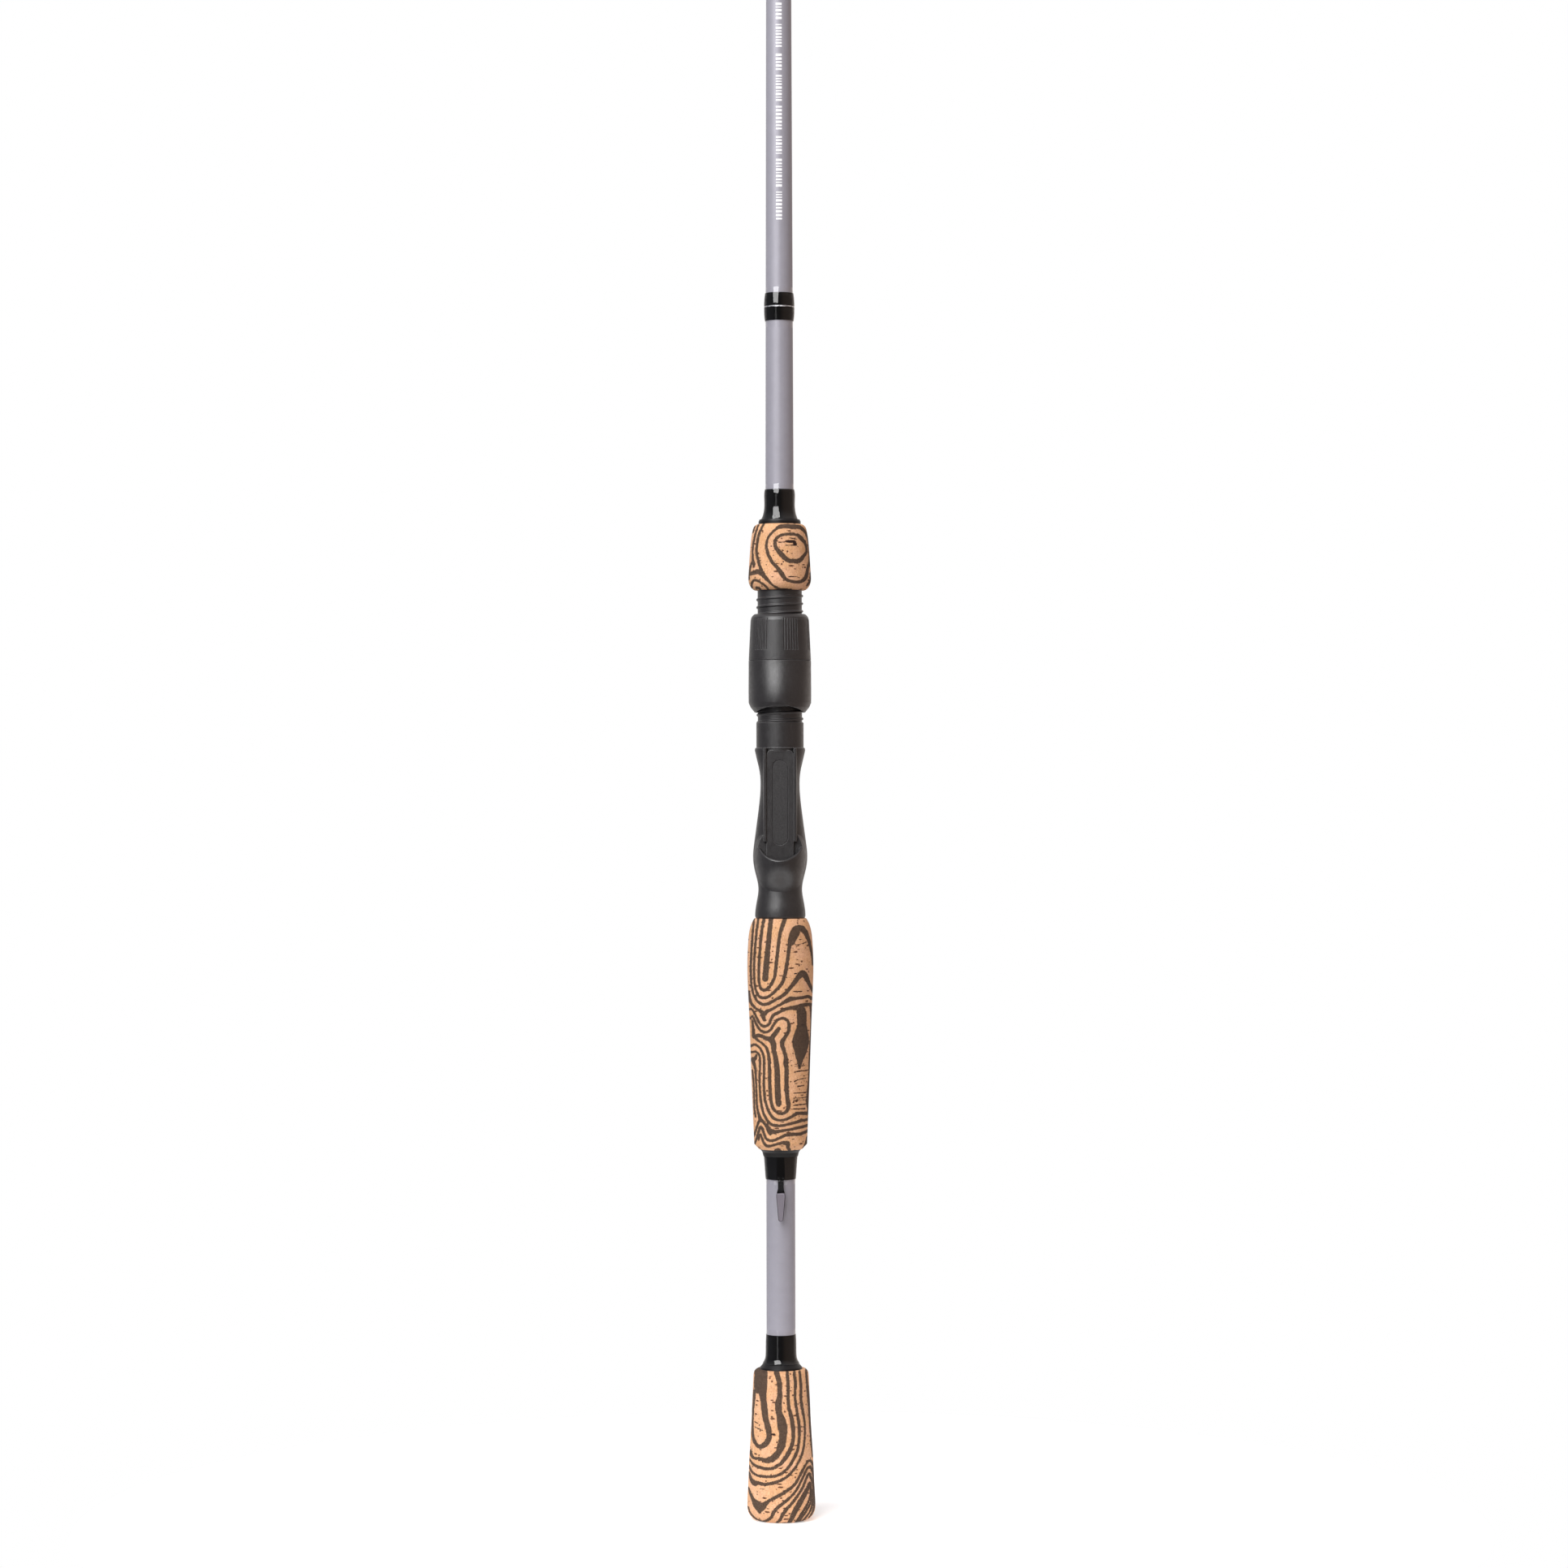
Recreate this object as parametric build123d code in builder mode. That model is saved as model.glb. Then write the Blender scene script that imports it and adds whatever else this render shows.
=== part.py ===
from build123d import *
import math
import os

# A two-handed spinning rod, 7 ft long, standing on its butt along +Z.
# Millimetres. Origin: on the rod's axis at the flat end of the butt grip.
# Reel foot, hook keeper and line guides are on the -Y side.

os.makedirs("parts", exist_ok=True)

# ---- driving dimensions ------------------------------------------------------------------

ROD_LENGTH = 2133.6

# Blank: a tapered carbon tube. Each station is (height, outer radius), straight in between.
BLANK_STATIONS = [
    (4.0, 6.60),
    (120.0, 6.56),
    (480.0, 6.37),
    (700.0, 5.73),
    (1200.0, 3.95),
    (1850.0, 1.80),
    (2126.0, 1.10),
]
BLANK_WALL_BUTT = 1.2
BLANK_WALL_TIP = 0.4

# Cork grips: lowest and highest point of each.
BUTT_GRIP_TOP = 68.5
REAR_GRIP_BOTTOM = 168.7
REAR_GRIP_TOP = 273.8
FORE_GRIP_BOTTOM = 423.3
FORE_GRIP_TOP = 453.3

# Winding checks: the far face of each, seen from its grip.
BUTT_CHECK_TOP = 71.0
KEEPER_CHECK_BOTTOM = 165.4
FORE_CHECK_TOP = 455.5

# Reel seat.
SEAT_BOTTOM = REAR_GRIP_TOP
SEAT_TOP = FORE_GRIP_BOTTOM
SEAT_BORE_R = 7.4
EARS_TOP = 351.3
BARREL_R = 10.78
BARREL_TOP = 363.4
THREAD_ROOT_R = 10.1
THREAD_PITCH = 3.5
THREAD_START_Z = 362.95
THREAD_START_ANGLE = 180.0
THREAD_TURNS = 16.5
KEYWAY_WIDTH = 4.0
KEYWAY_FLOOR = 9.1

# Bed that the reel foot lies on, and the rails beside it.
BED_Y = -10.4
BED_HALF_WIDTH = 6.1
BED_TOP = 350.4
RAIL_Y = -11.2
RAIL_HALF_WIDTH = 7.5
RAIL_BOTTOM = 309.0
PAD_HALF_WIDTH = 3.35
PAD_GROOVE = 0.25
PAD_BOTTOM = 307.5
PAD_TOP = 346.0
PAD_DEPTH = 1.3

# Fixed hood at the lower end of the bed.
MOUTH_HALF_WIDTH = 9.45
MOUTH_DEPTH = 8.4
MOUTH_BOTTOM = 300.6
HOOD_LIP_ROUND = 0.8
POCKET_HALF_WIDTH = 10.4
POCKET_DEPTH = 15.6
POCKET_FLOOR_Y = -8.5
POCKET_BOTTOM = 293.5

# Sliding hood and locking nut, at rest with the hood about 16 mm above the ears.
MOVING_BORE_R = 11.05
HOOD_BOTTOM = 367.6
HOOD_TOP = 391.15
HOOD_R = 14.24
LIP_TOP = 370.7
LIP_ARCH_R = 21.8
NUT_BOTTOM = 391.4
NUT_TOP = 412.4
NUT_RIB_START_Z = 393.0
NUT_RIB_TURNS = 4.2
SPIGOT_R = 12.2
SPIGOT_LIP_R = 12.6
SPIGOT_BOTTOM = 386.4
SPIGOT_LIP_TOP = 387.4
RUNNING_GAP = 0.25
RIB_GROUPS = 6
RIBS_PER_GROUP = 5
RIB_ANGLE = 5.3
RIB_GROUP_PHASE = 21.4
RIB_GROOVE_WIDTH = 0.6
RIB_GROOVE_DEPTH = 0.5
RIB_BOTTOM = 395.9
RIB_TOP = 410.3

# Thread wraps: thickness of the thread layer on the blank.
THREAD_LAYER = 0.25

# Line guides from butt to tip: (height, ring size, ring centre above the blank, feet).
GUIDES = [
    (990.6, 25.0, 25.0, 2),
    (1257.3, 16.0, 17.5, 2),
    (1473.2, 10.0, 11.0, 1),
    (1644.6, 8.0, 8.6, 1),
    (1790.7, 6.0, 6.8, 1),
    (1917.7, 6.0, 6.4, 1),
    (2032.0, 6.0, 6.2, 1),
]

# Tip-top.
TIP_TUBE_BOTTOM = 2112.0
TIP_TUBE_TOP = 2127.0
TIP_TUBE_WALL = 0.35
TIP_RING_SIZE = 6.0
TIP_RING_OFFSET = 5.4


# ---- helpers -----------------------------------------------------------------------------


def finish(piece, node):
    """Label a finished piece and write it as its own STEP file."""
    piece.part.label = node
    export_step(piece.part, f"parts/{node}.step")


def blank_radius(z):
    """Outer radius of the blank at height z."""
    for (low, r_low), (high, r_high) in zip(BLANK_STATIONS, BLANK_STATIONS[1:]):
        if z <= high:
            return r_low + (r_high - r_low) * (z - low) / (high - low)
    return BLANK_STATIONS[-1][1]


def on_blank(z):
    """Point of the blank's half-section at height z."""
    return (blank_radius(z), z)


def turned(curve, corners):
    """Solid turned about Z: a smooth curve of (radius, z) points, closed by straight corners."""
    with BuildPart() as piece:
        with BuildSketch(Plane.XZ):
            with BuildLine():
                Spline(*curve)
                Polyline(curve[-1], *corners, curve[0])
            make_face()
        revolve(axis=Axis.Z)
    return piece


def lathed(corners):
    """Solid turned about Z from a half-section of straight lines."""
    with BuildPart() as piece:
        with BuildSketch(Plane.XZ):
            with BuildLine():
                Polyline(*corners, close=True)
            make_face()
        revolve(axis=Axis.Z)
    return piece


def front_oval(z, half_width, depth):
    """Closed half-oval on the -Y side at height z, as a sketch for a loft."""
    with BuildSketch(Plane.XY.offset(z)) as section:
        with BuildLine():
            EllipticalCenterArc((0, 0), half_width, depth, start_angle=180, arc_size=180)
            Line((half_width, 0), (-half_width, 0))
        make_face()
    return section.sketch


def egg(z, half_width, depth):
    """Round behind and drawn out to depth in front (-Y), at height z, as a sketch for a loft."""
    with BuildSketch(Plane.XY.offset(z)) as section:
        with BuildLine():
            EllipticalCenterArc((0, 0), half_width, depth, start_angle=180, arc_size=180)
            CenterArc((0, 0), half_width, 0, 180)
        make_face()
    return section.sketch


def helical_rib(radius, z_start, turns, angle, outward):
    """Rounded rib on a right-hand helix, standing outward or inward from the given radius."""
    side = 1 if outward else -1
    with BuildPart() as rib:
        with BuildLine() as path:
            Helix(THREAD_PITCH, THREAD_PITCH * turns, radius, center=(0, 0, z_start))
        start = Plane(origin=path.line @ 0, x_dir=(side, 0, 0), z_dir=path.line % 0)
        with BuildSketch(start):
            with BuildLine():
                Polyline((0.42, -0.42), (-0.35, -1.0), (-0.35, 1.0), (0.42, 0.42))
                ThreePointArc((0.42, 0.42), (0.6, 0), (0.42, -0.42))
            make_face()
        sweep(path=path.line, is_frenet=True)
    return rib.part.rotate(Axis.Z, angle)


def stretched_over_foot(z, radius, half_width, top):
    """Section of thread drawn tight round the blank and over a foot of the given size."""
    reach = math.hypot(half_width, top)
    tangent = math.atan2(half_width, top) + math.acos(radius / reach)
    side = (radius * math.sin(tangent), -radius * math.cos(tangent))
    with BuildSketch(Plane.XY.offset(z)) as section:
        with BuildLine():
            Polyline(side, (half_width, -top), (-half_width, -top), (-side[0], side[1]))
            ThreePointArc((-side[0], side[1]), (0, radius), side)
        make_face()
    return section.sketch


def blank_core(bottom, top):
    """Solid core of the blank's outer shape between two heights, for cutting its seat."""
    return lathed([(0, bottom), on_blank(bottom), on_blank(top), (0, top)])


# ---- blank -------------------------------------------------------------------------------

tip_z, tip_radius = BLANK_STATIONS[-1]
butt_z, butt_radius = BLANK_STATIONS[0]


def blank_wall(z):
    """Wall of the blank at height z, thinning evenly from butt to tip."""
    part_way = (z - butt_z) / (tip_z - butt_z)
    return BLANK_WALL_BUTT + (BLANK_WALL_TIP - BLANK_WALL_BUTT) * part_way


blank_outside = [(r, z) for z, r in BLANK_STATIONS]
blank_bore = [(r - blank_wall(z), z) for z, r in reversed(BLANK_STATIONS)]
blank = lathed([*blank_outside, *blank_bore])
finish(blank, "blank")


# ---- cork grips --------------------------------------------------------------------------

butt_grip = turned(
    [
        (10.2, 0),
        (13.7, 1.2),
        (15.2, 3.6),
        (15.55, 7.0),
        (15.2, 14.4),
        (14.6, 27.8),
        (13.75, 41.1),
        (13.1, 54.4),
        (12.6, 65.0),
        (12.1, 67.5),
        (10.9, BUTT_GRIP_TOP),
    ],
    [on_blank(BUTT_GRIP_TOP), (butt_radius, butt_z), (0, butt_z), (0, 0)],
)
finish(butt_grip, "butt_grip")

rear_grip = turned(
    [
        (12.05, REAR_GRIP_BOTTOM + 2.3),
        (12.55, 183.2),
        (13.55, 209.8),
        (14.4, 233.5),
        (14.95, 246.0),
        (15.05, 253.5),
        (14.65, 263.1),
        (13.8, 269.3),
        (12.6, 272.5),
        (11.8, REAR_GRIP_TOP),
    ],
    [on_blank(REAR_GRIP_TOP), on_blank(REAR_GRIP_BOTTOM), (9.9, REAR_GRIP_BOTTOM)],
)
finish(rear_grip, "rear_grip")

fore_grip = turned(
    [
        (11.5, FORE_GRIP_BOTTOM),
        (13.4, 425.1),
        (14.2, 427.6),
        (14.2, 430.5),
        (13.8, 437.0),
        (13.25, 444.3),
        (12.4, 450.2),
        (11.7, 452.2),
        (10.3, FORE_GRIP_TOP),
    ],
    [on_blank(FORE_GRIP_TOP), on_blank(FORE_GRIP_BOTTOM)],
)
finish(fore_grip, "fore_grip")


# ---- winding checks: trim rings that close the grips' ends -----------------------------------

butt_check = lathed(
    [
        on_blank(BUTT_GRIP_TOP),
        (9.7, BUTT_GRIP_TOP),
        (9.5, 69.3),
        (8.0, BUTT_CHECK_TOP),
        on_blank(BUTT_CHECK_TOP),
    ]
)
finish(butt_check, "butt_winding_check")

keeper_check = lathed(
    [
        on_blank(KEEPER_CHECK_BOTTOM),
        (7.9, KEEPER_CHECK_BOTTOM),
        (8.35, 167.3),
        (9.4, REAR_GRIP_BOTTOM),
        on_blank(REAR_GRIP_BOTTOM),
    ]
)
finish(keeper_check, "rear_winding_check")

fore_check = lathed(
    [
        on_blank(FORE_GRIP_TOP),
        (9.6, FORE_GRIP_TOP),
        (9.6, 454.6),
        (9.2, FORE_CHECK_TOP),
        on_blank(FORE_CHECK_TOP),
    ]
)
finish(fore_check, "fore_winding_check")


# ---- thread wraps and their epoxy finish -------------------------------------------------------


def wrap_ring(bottom, top, node, collar=False):
    """Thread wound on the blank between two heights, and up against a check if it has a collar."""
    r_bottom = blank_radius(bottom) + THREAD_LAYER
    r_top = blank_radius(top) + THREAD_LAYER
    outer = [(r_bottom, bottom), (r_top, top)]
    if collar:
        outer = [(8.3, bottom), (7.25, bottom + 2.1), (r_bottom, bottom + 6.0), (r_top, top)]
    ring = lathed([on_blank(bottom), *outer, on_blank(top)])
    finish(ring, node)
    return outer


def finish_ring(curve, thread, node):
    """Clear epoxy over a thread wrap: the smooth outer curve, then back down over the thread."""
    corners = [on_blank(thread[-1][1]), *reversed(thread)]
    starts_on_blank = curve[0] == on_blank(curve[0][1])
    if starts_on_blank:
        corners.append(on_blank(thread[0][1]))
    finish(turned(curve, corners), node)


fore_thread = wrap_ring(FORE_CHECK_TOP, 469.2, "fore_wrap", collar=True)
finish_ring(
    [
        (8.6, FORE_CHECK_TOP),
        (7.72, 457.5),
        (7.14, 460.4),
        (7.05, 464.0),
        (6.98, 468.4),
        (6.66, 469.9),
        on_blank(471.6),
    ],
    fore_thread,
    "fore_wrap_finish",
)

butt_thread = wrap_ring(BUTT_CHECK_TOP, 84.2, "butt_wrap", collar=True)
finish_ring(
    [
        (8.55, BUTT_CHECK_TOP),
        (7.36, 73.2),
        (7.06, 76.0),
        (7.0, 81.0),
        (6.86, 83.8),
        on_blank(86.6),
    ],
    butt_thread,
    "butt_wrap_finish",
)

lower_thread = wrap_ring(546.1, 552.1, "trim_wrap_lower")
inlay_thread = wrap_ring(552.1, 552.7, "trim_inlay")
upper_thread = wrap_ring(552.7, 558.7, "trim_wrap_upper")
finish_ring(
    [
        on_blank(542.9),
        (6.42, 544.7),
        (6.78, 547.2),
        (7.0, 552.4),
        (6.76, 557.2),
        (6.38, 559.6),
        on_blank(561.2),
    ],
    [lower_thread[0], upper_thread[-1]],
    "trim_wrap_finish",
)


# ---- hook keeper: a stamped tongue whose foot is bound under the keeper wrap --------------------

KEEPER_WRAP_BOTTOM = 155.0
KEEPER_FOOT_TOP = 162.5
KEEPER_TIP = 136.5
KEEPER_GAP = 3.0
KEEPER_STOCK = 1.0
keeper_seat = -blank_radius(KEEPER_WRAP_BOTTOM)
keeper_face = keeper_seat - KEEPER_GAP - KEEPER_STOCK
keeper_outline = [
    (1.3, KEEPER_FOOT_TOP),
    (1.3, 151.3),
    (1.8, 149.6),
    (2.05, 148.2),
    (1.72, 144.5),
    (1.12, 137.55),
]

with BuildPart() as hook_keeper:
    with BuildSketch(Plane.YZ):
        with BuildLine():
            Polyline(
                (keeper_seat + 0.4, KEEPER_FOOT_TOP),
                (keeper_seat - 0.3, KEEPER_FOOT_TOP),
                (keeper_seat - KEEPER_STOCK, KEEPER_FOOT_TOP - 2.0),
                (keeper_seat - KEEPER_STOCK, 155.2),
                (keeper_seat - KEEPER_STOCK - 0.5, 153.4),
                (keeper_face + 0.4, 150.6),
                (keeper_face, 148.9),
                (keeper_face, KEEPER_TIP - 0.2),
                (keeper_face + KEEPER_STOCK, KEEPER_TIP - 0.2),
                (keeper_face + KEEPER_STOCK, 148.6),
                (keeper_face + KEEPER_STOCK + 0.5, 150.2),
                (keeper_seat + 0.4, 152.6),
                close=True,
            )
        make_face()
    extrude(amount=3, both=True)
    with BuildSketch(Plane.XZ):
        with BuildLine():
            right = Polyline(*keeper_outline)
            left = Polyline(*[(-x, z) for x, z in keeper_outline])
            Line(right @ 0, left @ 0)
            ThreePointArc(right @ 1, (0, KEEPER_TIP), left @ 1)
        make_face()
    extrude(amount=20, both=True, mode=Mode.INTERSECT)
    add(blank_core(130, 170).part, mode=Mode.SUBTRACT)
    tongue_face = hook_keeper.faces().filter_by(Axis.Y).sort_by(Axis.Y)[0]
    chamfer(tongue_face.edges().filter_by(Axis.X, reverse=True), 0.2)
finish(hook_keeper, "hook_keeper")

with BuildPart() as keeper_wrap:
    loft(
        [
            stretched_over_foot(KEEPER_WRAP_BOTTOM, 6.85, 1.7, -keeper_seat + 1.35),
            stretched_over_foot(KEEPER_CHECK_BOTTOM, 7.2, 1.5, -keeper_seat + 1.0),
        ],
        ruled=True,
    )
    add(blank_core(150, 170).part, mode=Mode.SUBTRACT)
    add(hook_keeper.part, mode=Mode.SUBTRACT)
finish(keeper_wrap, "keeper_wrap")

with BuildPart() as keeper_finish:
    loft(
        [
            stretched_over_foot(150.4, 6.58, 1.5, 6.62),
            stretched_over_foot(152.8, 6.68, 1.6, 7.0),
            stretched_over_foot(154.6, 6.9, 1.8, -keeper_seat + 1.3),
            stretched_over_foot(156.5, 7.1, 1.9, -keeper_seat + 1.65),
            stretched_over_foot(KEEPER_CHECK_BOTTOM, 7.75, 1.7, -keeper_seat + 1.5),
        ],
        ruled=True,
    )
    # The skirt ends level round the back and dips to a point where it meets the tongue.
    with BuildSketch(Plane.XZ):
        with BuildLine():
            Polyline(
                (-9, 149),
                (-9, 153.1),
                (-5, 153.0),
                (0, 150.7),
                (5, 153.0),
                (9, 153.1),
                (9, 149),
                close=True,
            )
        make_face()
    extrude(amount=12, mode=Mode.SUBTRACT)
    with BuildSketch(Plane.XZ):
        with Locations((0, 151)):
            Rectangle(18, 4.2)
    extrude(amount=-12, mode=Mode.SUBTRACT)
    add(blank_core(148, 170).part, mode=Mode.SUBTRACT)
    add(hook_keeper.part, mode=Mode.SUBTRACT)
    add(keeper_wrap.part, mode=Mode.SUBTRACT)
finish(keeper_finish, "keeper_wrap_finish")


# ---- reel seat -----------------------------------------------------------------------------------

SADDLE = [
    (11.5, 274.8),
    (11.25, 278.4),
    (10.45, 282.9),
    (9.97, 287.1),
    (10.6, 291.6),
    (11.7, 296.0),
    (12.38, 301.5),
    (11.7, 309.3),
    (10.5, 318.2),
    (9.4, 327.1),
    (8.92, 335.5),
    (9.3, 340.4),
    (10.25, 344.9),
    (11.5, 350.4),
]

saddle = turned(
    SADDLE,
    [
        (11.35, EARS_TOP),
        (BARREL_R, EARS_TOP + 0.3),
        (BARREL_R, BARREL_TOP - 0.6),
        (THREAD_ROOT_R, BARREL_TOP),
        (THREAD_ROOT_R, SEAT_TOP),
        (SEAT_BORE_R, SEAT_TOP),
        (SEAT_BORE_R, SEAT_BOTTOM),
        (11.1, SEAT_BOTTOM),
    ],
)

# The pocket that takes the lower end of the reel foot, behind the fixed hood.
with BuildPart() as fixed_pocket:
    loft(
        [
            front_oval(POCKET_BOTTOM, 8.8, 12.4),
            front_oval(POCKET_BOTTOM + 4.0, 10.0, 15.0),
            front_oval(POCKET_BOTTOM + 9.0, 10.3, POCKET_DEPTH),
            front_oval(RAIL_BOTTOM + 1.0, POCKET_HALF_WIDTH, POCKET_DEPTH),
        ]
    )
    split(bisect_by=Plane.XZ.offset(-POCKET_FLOOR_Y), keep=Keep.TOP)

with BuildPart() as reel_seat:
    add(saddle.part)
    # Fixed hood: the front of the seat swells out into a scoop over the reel foot.
    loft(
        [
            front_oval(281.0, 8.6, 8.6),
            front_oval(286.0, 9.3, 10.0),
            front_oval(291.5, 10.3, 13.2),
            front_oval(296.5, 11.4, 16.6),
            front_oval(301.5, 12.1, 17.6),
            front_oval(306.5, 11.8, 16.6),
            front_oval(311.5, 10.9, 12.6),
            front_oval(316.5, 10.1, 9.6),
        ]
    )
    # Its U-shaped mouth, open towards the sliding hood.
    with BuildSketch(Plane.XZ.offset(-POCKET_FLOOR_Y)):
        with Locations((0, MOUTH_BOTTOM + MOUTH_DEPTH)):
            Ellipse(MOUTH_HALF_WIDTH, MOUTH_DEPTH)
            Rectangle(
                2 * MOUTH_HALF_WIDTH,
                EARS_TOP - MOUTH_BOTTOM - MOUTH_DEPTH,
                align=(Align.CENTER, Align.MIN),
            )
    extrude(amount=15, mode=Mode.SUBTRACT)
    add(fixed_pocket.part, mode=Mode.SUBTRACT)
    fillet(reel_seat.edges().sort_by(Axis.Y)[0], HOOD_LIP_ROUND)
    # The barrel runs down to the bed between the ears.
    with BuildSketch(Plane.XY.offset(BED_TOP - 0.6)):
        Circle(BARREL_R)
    extrude(amount=2.5)
    # Bed strip, from inside the pocket up to the barrel.
    with BuildSketch(Plane.XZ.offset(3)) as strip:
        with Locations((0, (POCKET_BOTTOM - 1 + BED_TOP) / 2)):
            Rectangle(2 * BED_HALF_WIDTH, BED_TOP - POCKET_BOTTOM + 1)
        fillet(strip.vertices().group_by(Axis.Y)[-1], 2.4)
    extrude(amount=-BED_Y - 3)
    # Side rails that hold the foot from turning.
    with BuildSketch(Plane.XY.offset(RAIL_BOTTOM)) as rails:
        with BuildLine():
            Polyline(
                (BED_HALF_WIDTH - 0.01, -3),
                (BED_HALF_WIDTH - 0.01, RAIL_Y),
                (RAIL_HALF_WIDTH, RAIL_Y),
                (RAIL_HALF_WIDTH + 0.4, -3),
                close=True,
            )
        make_face()
        fillet(rails.vertices().group_by(Axis.Y)[0], 0.45)
        mirror(about=Plane.YZ)
    extrude(amount=EARS_TOP - RAIL_BOTTOM)
    # Thread for the locking nut.
    add(helical_rib(THREAD_ROOT_R, THREAD_START_Z, THREAD_TURNS, THREAD_START_ANGLE, outward=True))
    # Keyway down the back of the barrel, which stops the hood turning.
    with BuildSketch(Plane.XY.offset(EARS_TOP + 0.7)):
        with Locations((0, KEYWAY_FLOOR + 2)):
            Rectangle(KEYWAY_WIDTH, 4)
    extrude(amount=SEAT_TOP, mode=Mode.SUBTRACT)
    # Recess for the foot pad.
    with BuildSketch(Plane.XZ.offset(-BED_Y - PAD_DEPTH)):
        with Locations((0, (PAD_BOTTOM + PAD_TOP) / 2)):
            SlotOverall(
                PAD_TOP - PAD_BOTTOM + 2 * PAD_GROOVE,
                2 * (PAD_HALF_WIDTH + PAD_GROOVE),
                rotation=90,
            )
    extrude(amount=PAD_DEPTH, mode=Mode.SUBTRACT)
    # Bore over the arbors.
    with BuildSketch(Plane.XY.offset(SEAT_BOTTOM)):
        Circle(SEAT_BORE_R)
    extrude(amount=SEAT_TOP - SEAT_BOTTOM, mode=Mode.SUBTRACT)
finish(reel_seat, "reel_seat_body")

with BuildPart() as foot_pad:
    with BuildSketch(Plane.XZ.offset(-BED_Y - PAD_DEPTH)):
        with Locations((0, (PAD_BOTTOM + PAD_TOP) / 2)):
            SlotOverall(
                PAD_TOP - PAD_BOTTOM + 2 * PAD_GROOVE,
                2 * (PAD_HALF_WIDTH + PAD_GROOVE),
                rotation=90,
            )
    extrude(amount=PAD_DEPTH - 0.5)
    with BuildSketch(Plane.XZ.offset(-BED_Y - 0.5)):
        with Locations((0, (PAD_BOTTOM + PAD_TOP) / 2)):
            SlotOverall(PAD_TOP - PAD_BOTTOM, 2 * PAD_HALF_WIDTH, rotation=90)
    extrude(amount=0.5)
finish(foot_pad, "seat_foot_pad")

# Arbors: rings that centre the seat's bore on the blank.
ARBOR_LENGTH = 18.0
for name, arbor_bottom in [("lower", 280.0), ("middle", 339.0), ("upper", 398.0)]:
    arbor = lathed(
        [
            on_blank(arbor_bottom),
            (SEAT_BORE_R, arbor_bottom),
            (SEAT_BORE_R, arbor_bottom + ARBOR_LENGTH),
            on_blank(arbor_bottom + ARBOR_LENGTH),
        ]
    )
    finish(arbor, f"seat_arbor_{name}")


# ---- sliding hood ----------------------------------------------------------------------------------

HOOD_SHOULDER = 372.0
HOOD_GROOVE_BOTTOM = SPIGOT_BOTTOM - RUNNING_GAP
HOOD_GROOVE_TOP = SPIGOT_LIP_TOP + RUNNING_GAP

with BuildPart() as sliding_hood:
    loft(
        [
            egg(HOOD_BOTTOM, 11.5, 14.9),
            egg(370.0, 13.4, 16.5),
            egg(HOOD_SHOULDER, HOOD_R, 17.1),
        ],
        ruled=True,
    )
    loft(
        [
            egg(HOOD_SHOULDER, HOOD_R, 17.1),
            egg(378.0, HOOD_R + 0.05, 16.9),
            egg(385.0, HOOD_R, 15.5),
            egg(HOOD_TOP, HOOD_R, HOOD_R),
        ]
    )
    # Bore over the thread, and the groove and mouth that take the nut's spigot.
    with BuildSketch(Plane.XY.offset(HOOD_BOTTOM)):
        Circle(MOVING_BORE_R)
    extrude(amount=HOOD_TOP - HOOD_BOTTOM, mode=Mode.SUBTRACT)
    with BuildSketch(Plane.XY.offset(HOOD_GROOVE_BOTTOM)):
        Circle(SPIGOT_LIP_R + RUNNING_GAP)
    extrude(amount=HOOD_GROOVE_TOP - HOOD_GROOVE_BOTTOM, mode=Mode.SUBTRACT)
    with BuildSketch(Plane.XY.offset(HOOD_GROOVE_TOP)):
        Circle(SPIGOT_R + RUNNING_GAP)
    extrude(amount=HOOD_TOP - HOOD_GROOVE_TOP, mode=Mode.SUBTRACT)
    # Pocket over the upper end of the reel foot.
    loft(
        [
            front_oval(HOOD_BOTTOM - 1, 10.95, POCKET_DEPTH),
            front_oval(377.0, 10.95, 15.4),
            front_oval(384.5, 10.5, 11.8),
        ],
        mode=Mode.SUBTRACT,
    )
    # Arched lip in front.
    with BuildSketch(Plane.XZ.offset(3)):
        with Locations((0, LIP_TOP - LIP_ARCH_R)):
            Circle(LIP_ARCH_R)
    extrude(amount=20, mode=Mode.SUBTRACT)
    # Key that runs in the seat's keyway.
    with BuildSketch(Plane.XY.offset(374)):
        with Locations((0, 10.4)):
            Rectangle(KEYWAY_WIDTH - 0.6, 1.9)
    extrude(amount=10)
finish(sliding_hood, "sliding_hood")


# ---- locking nut -----------------------------------------------------------------------------------

with BuildPart() as rib_groove:
    with BuildSketch(Plane.XZ):
        with BuildLine():
            Polyline(
                (13.98 - RIB_GROOVE_DEPTH, RIB_BOTTOM),
                (13.3 - RIB_GROOVE_DEPTH, RIB_TOP),
                (16, RIB_TOP),
                (16, RIB_BOTTOM),
                close=True,
            )
        make_face()
    extrude(amount=RIB_GROOVE_WIDTH / 2, both=True)

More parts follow.
